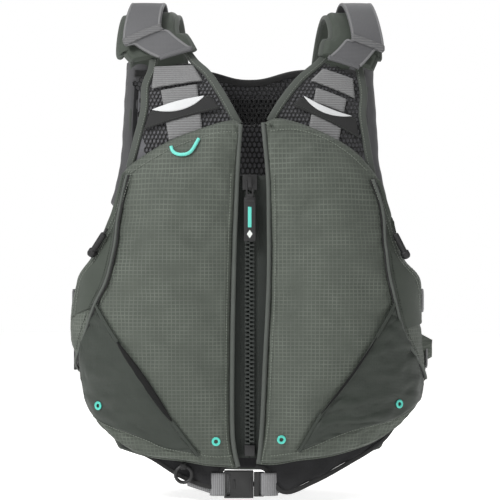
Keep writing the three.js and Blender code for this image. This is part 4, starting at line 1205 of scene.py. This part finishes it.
backOutline = {
    "foot": [(-150, 44, 1), (-80, 24, 1), (0, 18, 1), (80, 24, 1), (150, 44, 1)],
    "waist": [(150, 44, 1), (168, 90, 1), (174, 160, 1), (170, 235, 1), (150, 300, 1), (138, 350, 1),
              (137, 400, 1), (133, 446, 1)],
    "shoulders": [(-133, 446, 1), (-90, 420, 1), (0, 404, 1), (90, 420, 1), (133, 446, 1)],
}


backLook = {"rim": 6.0, "wide": 340, "high": 390, "roll": 9, "levels": (0.3, 0.62), "uprights": (0.26, 0.74),
            "seamWidth": 0.012, "seamDepth": 8.0, "waves": 0.8, "stitchSink": 7.2, "lining": (0.1, 1.6),
            "neck": (1.6, 2.2), "pitch": 5.2, "yarn": 0.9}


def backPanels():
    # The quilted back, its lining, its bound edges and the mesh at the neck
    look = backLook
    patch = Patch(Edge(backOutline["waist"], -1), Edge(backOutline["waist"], 1),
                  Edge(backOutline["foot"]), Edge(backOutline["shoulders"]))
    height = coverHeight(patch, sizes["foamBack"])
    across, up, places = gridOf(patch, 110, 100, 0.75)
    edge = rolled(across, look["wide"], look["roll"]) * rolled(up, look["high"], look["roll"])
    seams = np.zeros_like(up)
    for shares, middles in ((up, look["levels"]), (across, look["uprights"])):
        for middle in middles:
            seams = np.maximum(seams, np.exp(-((shares - middle) / look["seamWidth"]) ** 2))
    top = look["rim"] + (height(places) - look["rim"]) * edge - look["seamDepth"] * seams * edge
    folds = foldsOn(places, 1.0, 31) * look["waves"] * edge
    piece = clothSlab("backPanel", places, foamFoot, top, cloths["back"], folds)
    count = places.shape[0] * places.shape[1]
    rim = (np.minimum(across, 1 - across) < 0.03) | (np.minimum(up, 1 - up) < 0.025) | (seams > 0.6)
    pinned = np.concatenate([np.arange(count), count + np.flatnonzero(rim.ravel())])
    inflate(piece, pinned, 1.5, 0.012, 4.0, 10)
    onVest(piece, "back_foam", "back_cover", slot="back_cloth")
    grid = patch.at(*np.meshgrid(np.linspace(0, 1, 60), np.linspace(0, 1, 60)))
    lining = clothSlab("backLining", grid, *look["lining"], cloths["airMesh"])
    onVest(lining, "back_liner", slot="mesh")
    bound = {"backHem": Edge(backOutline["foot"]), "backArm1": patch.outer, "backArm2": patch.inner}
    for label, rim in bound.items():
        line, normals = lineOn(rim, 7.0, 160)
        onVest(sweepProfile(label, line, normals, bandProfile(6, 9.0, 6, 0, -5.0), cloths["binding"]))
    rows = []
    for middle in look["levels"]:
        line = patch.at(np.linspace(0.02, 0.98, 200), np.full(200, middle))
        rows.append(outside(line[:, 0], line[:, 1], height(line) - look["stitchSink"]))
    stitchLines("backStitch", rows, cloths["greyThread"])
    seam = [(x, z + 0.9, 1) for x, z, _ in backOutline["shoulders"]]
    neck = Patch(Edge([seam[0], (-132, 462, 1)]), Edge([seam[-1], (132, 462, 1)]), Edge(seam),
                 Edge([(-132, 462, 1), (-58, 464, 1), (0, 453, 1), (58, 464, 1), (132, 462, 1)]))
    grid = neck.at(*np.meshgrid(np.linspace(0, 1, 80), np.linspace(0, 1, 14)))
    sheer = clothSlab("neckBack", grid, *look["neck"], cloths["fleck"])
    onVest(sheer, "neck_mesh", slot="mesh")
    onVest(netOver("neckNetInside", neck, 0.8, cloths["net"], look["pitch"], look["yarn"]))
    line, normals = lineOn(neck.high, 1.2, 120)
    profile = bandProfile(8, 4.0, 6, 0, -2.0)
    onVest(sweepProfile("neckBinding_back", line, normals, profile, cloths["band"]))
    # The knitted mesh face that shows inside the back, through the neck
    grid = patch.at(*np.meshgrid(np.linspace(0.05, 0.95, 60), np.linspace(0.35, 1, 30)))
    onVest(clothSlab("backMeshInside", grid, -0.6, 0.0, cloths["fleck"]))
    upper = Patch(Edge(None, places=patch.at(np.full(8, 0.08), np.linspace(0.45, 1, 8))),
                  Edge(None, places=patch.at(np.full(8, 0.92), np.linspace(0.45, 1, 8))))
    onVest(netOver("backNetInside", upper, -1.0, cloths["net"], look["pitch"], look["yarn"]))
    return height


backHeight = backPanels()
rollLook = {"route": [(146, 300, 1), (134, 350, 1), (129, 400, 1), (126, 440, 1), (124, 466, 1),
                      (121, 486, 1)],
            "rise": 12.0, "creases": 0.09, "wide": 13.5, "high": 13.0, "bulge": 1.0}


def armRolls():
    # Creased nylon that wraps the back's padding round each armhole and up to the shoulder
    look = rollLook
    for name, side in (("right", -1), ("left", 1)):
        line, normals = lineOn(Edge(look["route"], side), look["rise"], 120)
        step = np.linspace(0, 1, 120)
        swell = 1 + look["creases"] * noiseAt(np.stack([step * 100, step * 0, step * 0], -1), 9.0, 50 + side)
        taper = swell * np.clip(np.minimum(step / 0.06, (1 - step) / 0.1), 0.35, 1)
        angles = np.linspace(0, 2 * math.pi, 20, endpoint=False)
        profile = [(look["wide"] * math.cos(a), look["high"] * math.sin(a) + look["bulge"] * math.sin(3 * a))
                   for a in angles]
        roll = sweepProfile(f"armRoll_{name}", line, normals, profile, cloths["back"], taper)
        onVest(roll)


armRolls()
print("stage: back")


sideLook = {"lap": 0.06, "foot": -3.0, "straps": {"upper": 207.0, "lower": 147.0}, "turns": (1.42, 1.98),
            "half": 12.5, "under": 0.4, "rise": 1.9, "bow": 0.5, "thick": 1.2, "slack": 2.2}


def roundTheSide(places, side):
    # The same place on the back, counted on from the front's turn
    return np.stack([side * math.pi - places[..., 0], overRun - places[..., 1]], axis=-1)


def sidePieces(name, outline):
    # The side panel, and the two straps that cross it
    look, side = sideLook, outline["side"]
    height = panelHeights[name]
    front = seen(outline["outer"][1:4], side) - [look["lap"] * side, 0]
    rear = roundTheSide(seen(backOutline["waist"][1:4], side), side) + [look["lap"] * side, 0]
    panel = Patch(Edge(None, places=front), Edge(None, places=rear))
    across, up, places = gridOf(panel, 30, 24)
    slack = look["slack"] * noiseAt(np.stack([across * 60, up * 40, across * 0], -1), 16.0, 40 + side)
    foot, top = look["foot"], look["foot"] + look["thick"]
    cloth = clothSlab(f"sidePanel_{name}", places, foot, top, cloths["back"], np.clip(slack, 0, 1.2))
    onVest(cloth, f"side_panel_{name}", slot="back_cloth")

    def strapHeight(turn, run):
        # Clear of the panel in front and of the back behind
        ahead = np.abs(turn) < math.pi / 2
        beside = height(np.stack([np.where(ahead, turn, side * math.pi / 2), run], -1))
        behind = np.stack([side * math.pi - turn, overRun - run], -1)
        rear = np.where(ahead, 0, backHeight(behind))
        return np.maximum(beside + 1.8, rear)

    start, end = look["turns"]
    for level, middle in look["straps"].items():
        turn, run = np.meshgrid(np.linspace(start, end, 50) * side,
                                middle + np.linspace(-1, 1, 9) * look["half"])
        base = np.median(strapHeight(turn, run), axis=0)
        base = np.convolve(np.pad(base, 3, mode="edge"), np.ones(7) / 7, mode="valid") + 0 * run
        edge = 1 - 0.35 * (np.abs(run - middle) / look["half"]) ** 8
        bow = look["bow"] * np.sin((np.abs(turn) - start) / (end - start) * math.pi)
        web = clothSlab(f"sideWeb{level.capitalize()}_{name}", np.stack([turn, run], -1),
                        base - look["under"], base + look["rise"] * edge, cloths["ribbedSide"], bow)
        onVest(web, f"side_strap_{level}_{name}", slot="ribbed_web")


for name, outline in fronts.items():
    sidePieces(name, outline)
print("stage: sides")


mouldLook = {"weld": 2e-6, "flat": 2, "shade": 40}


def refined(node, name, material, bevel, segments, body, sharp=35):
    # A copy of a hard piece with its flat faces joined and its edges rounded as a mould rounds them
    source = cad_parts[node]
    mesh = source.data.copy()
    mesh.name = name
    mesh.materials.clear()
    mesh.materials.append(material)
    piece = bpy.data.objects.new(name, mesh)
    bpy.context.scene.collection.objects.link(piece)
    piece.matrix_world = source.matrix_world.copy()
    bpy.context.view_layer.update()
    mesh.transform(source.matrix_world)
    piece.matrix_world = Matrix.Identity(4)
    work = bmesh.new()
    work.from_mesh(mesh)
    bmesh.ops.remove_doubles(work, verts=work.verts, dist=mouldLook["weld"])
    bmesh.ops.dissolve_limit(work, angle_limit=math.radians(mouldLook["flat"]), verts=work.verts,
                             edges=work.edges)
    if bevel:
        limit = math.radians(sharp)
        edges = [e for e in work.edges if len(e.link_faces) == 2 and e.calc_face_angle(0) > limit]
        bmesh.ops.bevel(work, geom=edges, offset=bevel * mm, segments=segments, profile=0.5, affect="EDGES",
                        clamp_overlap=True)
    bmesh.ops.recalc_face_normals(work, faces=work.faces)
    work.to_mesh(mesh)
    work.free()
    mesh.polygons.foreach_set("use_smooth", [True] * len(mesh.polygons))
    mesh.set_sharp_from_angle(angle=math.radians(mouldLook["shade"]))
    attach(piece, body)
    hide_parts(node)
    return piece


def cornersOf(node):
    return [np.array(v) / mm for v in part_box(node)]


def solidBox(name, low, high, material, bevel, body="vest"):
    # A small block with its edges rounded
    low, high = np.array(low, float), np.array(high, float)
    corners = [(x, y, z) for x in (low[0], high[0]) for y in (low[1], high[1]) for z in (low[2], high[2])]
    faces = [(0, 1, 3, 2), (4, 6, 7, 5), (0, 4, 5, 1), (2, 3, 7, 6), (0, 2, 6, 4), (1, 5, 7, 3)]
    piece = makeObject(name, corners, faces, np.array(corners)[:, [0, 2]] * mm, material)
    work = bmesh.new()
    work.from_mesh(piece.data)
    bmesh.ops.bevel(work, geom=list(work.edges), offset=bevel * mm, segments=3, profile=0.5, affect="EDGES",
                    clamp_overlap=True)
    bmesh.ops.recalc_face_normals(work, faces=work.faces)
    work.to_mesh(piece.data)
    work.free()
    piece.data.polygons.foreach_set("use_smooth", [True] * len(piece.data.polygons))
    piece.data.set_sharp_from_angle(angle=math.radians(mouldLook["shade"]))
    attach(piece, body)
    return piece


zipLook = {"bottom": 57.0, "top": 341.0, "pitch": 4.4, "teeth": 64, "tapeFront": -98.2, "tapeThick": 1.2,
           "teethBack": -98.5, "teethFront": -101.4, "tooth": (2.9, 1.4, 1.25), "cord": 4.3,
           "cordRadius": 1.3, "stitch": 9.3}


def toothTree():
    # One moulded tooth at every pitch along a line
    tree, start = geometryTree("toothRow", [("Pitch", "NodeSocketFloat"), ("Tooth", "NodeSocketObject"),
                                            ("Material", "NodeSocketMaterial")])
    points = addNode(tree, "GeometryNodeCurveToPoints", {"mode": "LENGTH"}, None,
                     {"Curve": start.outputs["Geometry"], "Length": start.outputs["Pitch"]})
    tooth = addNode(tree, "GeometryNodeObjectInfo", None, None, {"Object": start.outputs["Tooth"]})
    rows = addNode(tree, "GeometryNodeInstanceOnPoints", None, None,
                   {"Points": points.outputs["Points"], "Instance": tooth.outputs["Geometry"]})
    endTree(tree, start, rows.outputs[0])
    return tree


trees["tooth"] = toothTree()


def zipSide(name, side):
    # One tape with its row of teeth, its cord and its stitching
    look = zipLook
    inner = 0.4 * side
    heights = np.linspace(look["bottom"] - 14, look["top"] - 1, 60)
    wide = np.linspace(0, 1, 8)
    line = lineOn(Edge(fronts[name]["centre"], side), 6.0, 200)[0]
    outer = np.interp(heights, line[:, 2], np.abs(line[:, 0])) - 0.8
    x = inner + (outer[:, None] * side - inner) * wide[None, :]
    y = np.full_like(x, look["tapeFront"]) + 0.12 * np.sin(heights * 0.05)[:, None]
    z = np.repeat(heights[:, None], 8, axis=1)
    front = np.stack([x, y, z], -1).reshape(-1, 3)
    back = front + [0, look["tapeThick"], 0]
    uv = np.stack([x, z], -1).reshape(-1, 2) * mm
    tape = faceOut(makeObject(f"zipTape_{name}", np.concatenate([back, front]), slabFaces(60, 8),
                              np.concatenate([uv, uv]), cloths["tape"]))
    onVest(tape, f"zip_tape_{name}", slot="mesh")
    depth = (look["teethBack"] + look["teethFront"]) / 2
    corner = np.array(look["tooth"])
    tooth = solidBox("toothSource", -corner, corner, cloths["teeth"], 0.5)
    shift = 0 if side < 0 else look["pitch"] / 2
    first = look["bottom"] + 1.3 + shift
    line = [(side * 2.3, depth, first + i * look["pitch"]) for i in (0, look["teeth"] - 1)]
    row = runTree(f"zipTeeth_{name}", curveOf("toothLine", [line]), trees["tooth"],
                  {"Pitch": look["pitch"] * mm, "Tooth": tooth, "Material": cloths["teeth"]})
    bpy.data.objects.remove(tooth)
    row.data.polygons.foreach_set("use_smooth", [True] * len(row.data.polygons))
    row.data.set_sharp_from_angle(angle=math.radians(mouldLook["shade"]))
    onVest(row, f"zip_teeth_{name}", slot="black_plastic")
    climb = np.linspace(look["bottom"], look["top"], 80)
    cord = [(side * look["cord"], look["tapeFront"] - 0.9, z) for z in climb]
    profile = cordProfile(look["cordRadius"], 10)
    onVest(sweepProfile(f"zipCord_{name}", cord, [(0, -1, 0)] * 80, profile, cloths["tape"]))
    climb = np.linspace(look["bottom"] - 10, look["top"] - 4, 200)
    stitch = [(side * look["stitch"], look["tapeFront"] - 0.1, z) for z in climb]
    stitchLines(f"zipStitch_{name}", [stitch], cloths["darkThread"], 2.8, 2.0, 0.34)


pullLook = {"collar": (5.2, 4.0), "collarDown": 18.0, "stripe": 1.9, "stripeFrom": 14.5, "stripeTo": 36.0,
            "mark": (3.0, 4.4), "markAt": 7.5}


def zipHardware():
    look = pullLook
    refined("zip_box", "zipBox", cloths["plastic"], 0.9, 3, "vest")
    refined("zip_slider", "zipSlider", cloths["plastic"], 0.6, 3, "zip_slider")
    low, high = cornersOf("zip_pull")
    refined("zip_pull", "zipPull", cloths["rubber"], 0.55, 3, "zip_pull")
    front = low[1]
    top = high[2] - look["collarDown"]
    half, tall = look["collar"]
    solidBox("pullCollar", (-half, front - 0.5, top - tall), (half, front + 3.4, top), cloths["plastic"], 0.7,
             "zip_pull")
    half = look["stripe"]
    solidBox("pullStripe", (-half, front - 0.45, low[2] + look["stripeFrom"]),
             (half, front + 0.6, low[2] + look["stripeTo"]), cloths["tealPlastic"], 0.35, "zip_pull")
    # A plain pale lozenge
    half, tall = look["mark"]
    points = [(0, tall), (half, 0), (0, -tall), (-half, 0)]
    ring = [(x, front - 0.22, low[2] + look["markAt"] + z) for x, z in points]
    ring += [(x, front + 0.3, low[2] + look["markAt"] + z) for x, z in points]
    faces = [(0, 1, 2, 3), (7, 6, 5, 4), (0, 4, 5, 1), (1, 5, 6, 2), (2, 6, 7, 3), (3, 7, 4, 0)]
    mark = makeObject("pullMark", ring, faces, None, cloths["paleMark"], False)
    faceOut(mark)
    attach(mark, "zip_pull")


for name, outline in fronts.items():
    zipSide(name, outline["side"])
zipHardware()
print("stage: zip")


beltLook = {"foot": 2.2, "width": 25.0, "right": 28.2, "left": 15.9, "length": 38.0, "drop": 12.0, "rows": 9,
            "sink": 3.1, "thick": 1.6, "lap": 5.4}


def turnAt(x):
    # The turn at which the torso lies x from the middle
    return math.copysign(math.asin((abs(x) / form["halfWidth"]) ** (form["roundness"] / 2)), x)


def beltPiece(name, side):
    # One half of the belt, and its end that is doubled back through the buckle
    look, start = beltLook, beltLook[name]
    xs = np.linspace(start - 9, start + look["length"], 50)
    up = np.linspace(0, 1, look["rows"])
    turn = np.array([turnAt(x * side) for x in xs])[None, :].repeat(look["rows"], 0)
    slope = np.maximum(xs - start - 6, 0) / look["length"] * look["drop"]
    run = look["foot"] + slope[None, :] + up[:, None] * look["width"]
    near = np.exp(-((xs - start) / 10) ** 2)[None, :]
    edge = 1 - 0.5 * np.abs(2 * up[:, None] - 1) ** 8
    web = clothSlab(f"beltWeb_{name}", np.stack([turn, run], -1), -look["sink"],
                    look["thick"] * edge - look["sink"] + 0 * turn, cloths["ribbedSide"], 0.9 * near)
    onVest(web, f"belt_{name}", slot="ribbed_web")
    xs = np.linspace(start - 4.0, start + 14, 20)
    turn = np.array([turnAt(x * side) for x in xs])[None, :].repeat(look["rows"], 0)
    run = look["foot"] + 0.4 + up[:, None] * (look["width"] - 0.8) + 0 * turn
    loop = np.sqrt(np.clip(1 - ((xs - start - 4) / 9) ** 2, 0, 1))[None, :] * look["lap"]
    onVest(clothSlab(f"beltLap_{name}", np.stack([turn, run], -1), loop - look["thick"], loop,
                     cloths["ribbedSide"]))


def buckle():
    refined("buckle_socket", "buckleSocket", cloths["plastic"], 1.1, 3, "vest")
    refined("buckle_plug", "bucklePlug", cloths["plastic"], 0.8, 3, "vest")
    for level in ("upper", "lower"):
        refined(f"buckle_prong_{level}", f"buckleProng{level.capitalize()}", cloths["plastic"], 0.5, 3,
                f"buckle_prong_{level}")
    low, high = cornersOf("buckle_socket")
    ribs = ((low[0] + 9.5, low[0] + 12, 9.5), (high[0] - 4.2, high[0] - 2, 6.5))
    for index, (left, right, inset) in enumerate(ribs):
        solidBox(f"buckleRib{index}", (left, low[1] - 0.7, low[2] + inset),
                 (right, low[1] + 0.6, high[2] - inset), cloths["plastic"], 0.5)


lashLook = {"loop": 3.0, "down": 1.9, "foot": 3.0, "web": (6.0, 0.9)}


def smallFittings():
    for name in fronts:
        for place in ("inner", "outer"):
            refined(f"grommet_{place}_{name}", f"eyelet{place.capitalize()}_{name}", cloths["eyelet"],
                    0.45, 3, "vest", 25)
        refined(f"side_lock_{name}", f"sideLock_{name}", cloths["plastic"], 0.7, 3, f"side_lock_{name}")
        pull = refined(f"pocket_pull_{name}", f"pocketPull_{name}", cloths["rubber"], 0.35, 2,
                       f"pocket_pull_{name}", 30)
        tintPull(pull, name)
    refined("lash_ring", "lashRing", cloths["plastic"], 0, 0, "lash_ring")
    # The tab that holds the lash ring: a tape looped round it, its ends sewn under the hem
    look = lashLook
    low, high = cornersOf("lash_tab")
    x, y = (low[0] + high[0]) / 2, (low[1] + high[1]) / 2
    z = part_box("lash_ring")[1][2] / mm - look["down"]
    angles = np.radians(np.linspace(-80, 260, 30))[::-1]
    loop = [(x, y + look["loop"] * math.cos(a), z + 2.9 * math.sin(a)) for a in angles]
    root = high[2] + look["foot"]
    loop = [(x, y + 3.2, root)] + loop + [(x, y + 2.4, root)]
    normals = [(0, out - y, up - z) for _, out, up in loop]
    tab = sweepProfile("lashTab", loop, normals, bandProfile(*look["web"], 2), cloths["band"])
    onVest(tab, "lash_tab", slot="black_tape")


tealReach = 6.3


def tintPull(pull, name):
    # Teal for the faces near the pull's pivot, soft rubber for the rest
    pull.data.materials.append(cloths["teal"])
    centres = np.array([p.center for p in pull.data.polygons]) / mm
    start = np.array(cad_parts[f"pocket_pull_{name}"].matrix_world.translation) / mm
    near = np.linalg.norm(centres - start, axis=1) < tealReach
    pull.data.polygons.foreach_set("material_index", near.astype(int))


for name, outline in fronts.items():
    beltPiece(name, outline["side"])
buckle()
smallFittings()
print("stage: belt and fittings")


studioLook = {
    "lamps": {
        "key": ((-1.1, -1.2, 1.6), 42, 0.7),  # place in metres, watts and size
        "top": ((0.1, 0.0, 1.8), 8, 1.0),
        "rear": ((0.6, 1.5, 1.2), 12, 1.0),
    },
    "aim": (0, 0, 0.28),
    "band": {"From Min": 0.12, "From Max": 0.4, "To Min": 1.0, "To Max": 0.25},
    "floor": 6000,
    "floorLevel": -4,
    "floorGlow": 0.7,
}


def studio():
    # Soft lamps, a pale floor, and a bright band round the horizon under a dimmer ceiling
    look, scene = studioLook, bpy.context.scene
    world = bpy.data.worlds.new("studio")
    world.use_nodes = True
    background = world.node_tree.nodes["Background"]
    tree = world.node_tree
    way = addNode(tree, "ShaderNodeSeparateXYZ", None, None,
                  {0: addNode(tree, "ShaderNodeTexCoord").outputs["Generated"]})
    level = mathOf(tree, "ABSOLUTE", way.outputs["Z"], 0)
    band = addNode(tree, "ShaderNodeMapRange", None, look["band"], {"Value": level})
    tree.links.new(band.outputs["Result"], background.inputs[1])
    background.inputs[0].default_value = (1, 1, 1, 1)
    scene.world = world
    scene.view_settings.view_transform = "Standard"
    for label, (place, energy, size) in look["lamps"].items():
        lamp = bpy.data.objects.new(label, bpy.data.lights.new(label, "AREA"))
        lamp.data.energy = energy
        lamp.data.size = size
        lamp.location = place
        aim = Vector(look["aim"]) - Vector(place)
        lamp.rotation_euler = aim.to_track_quat("-Z", "Y").to_euler()
        scene.collection.objects.link(lamp)
    paper, _, shader = startMaterial("paperFloor", "F4F4F2", 0.95)
    shader.inputs["Emission Color"].default_value = (1, 1, 1, 1)
    shader.inputs["Emission Strength"].default_value = look["floorGlow"]
    half = look["floor"]
    square = ((-half, -half), (half, -half), (half, half), (-half, half))
    corners = [(x, y, look["floorLevel"]) for x, y in square]
    makeObject("floor", corners, [(0, 1, 2, 3)], None, paper, False)


studio()
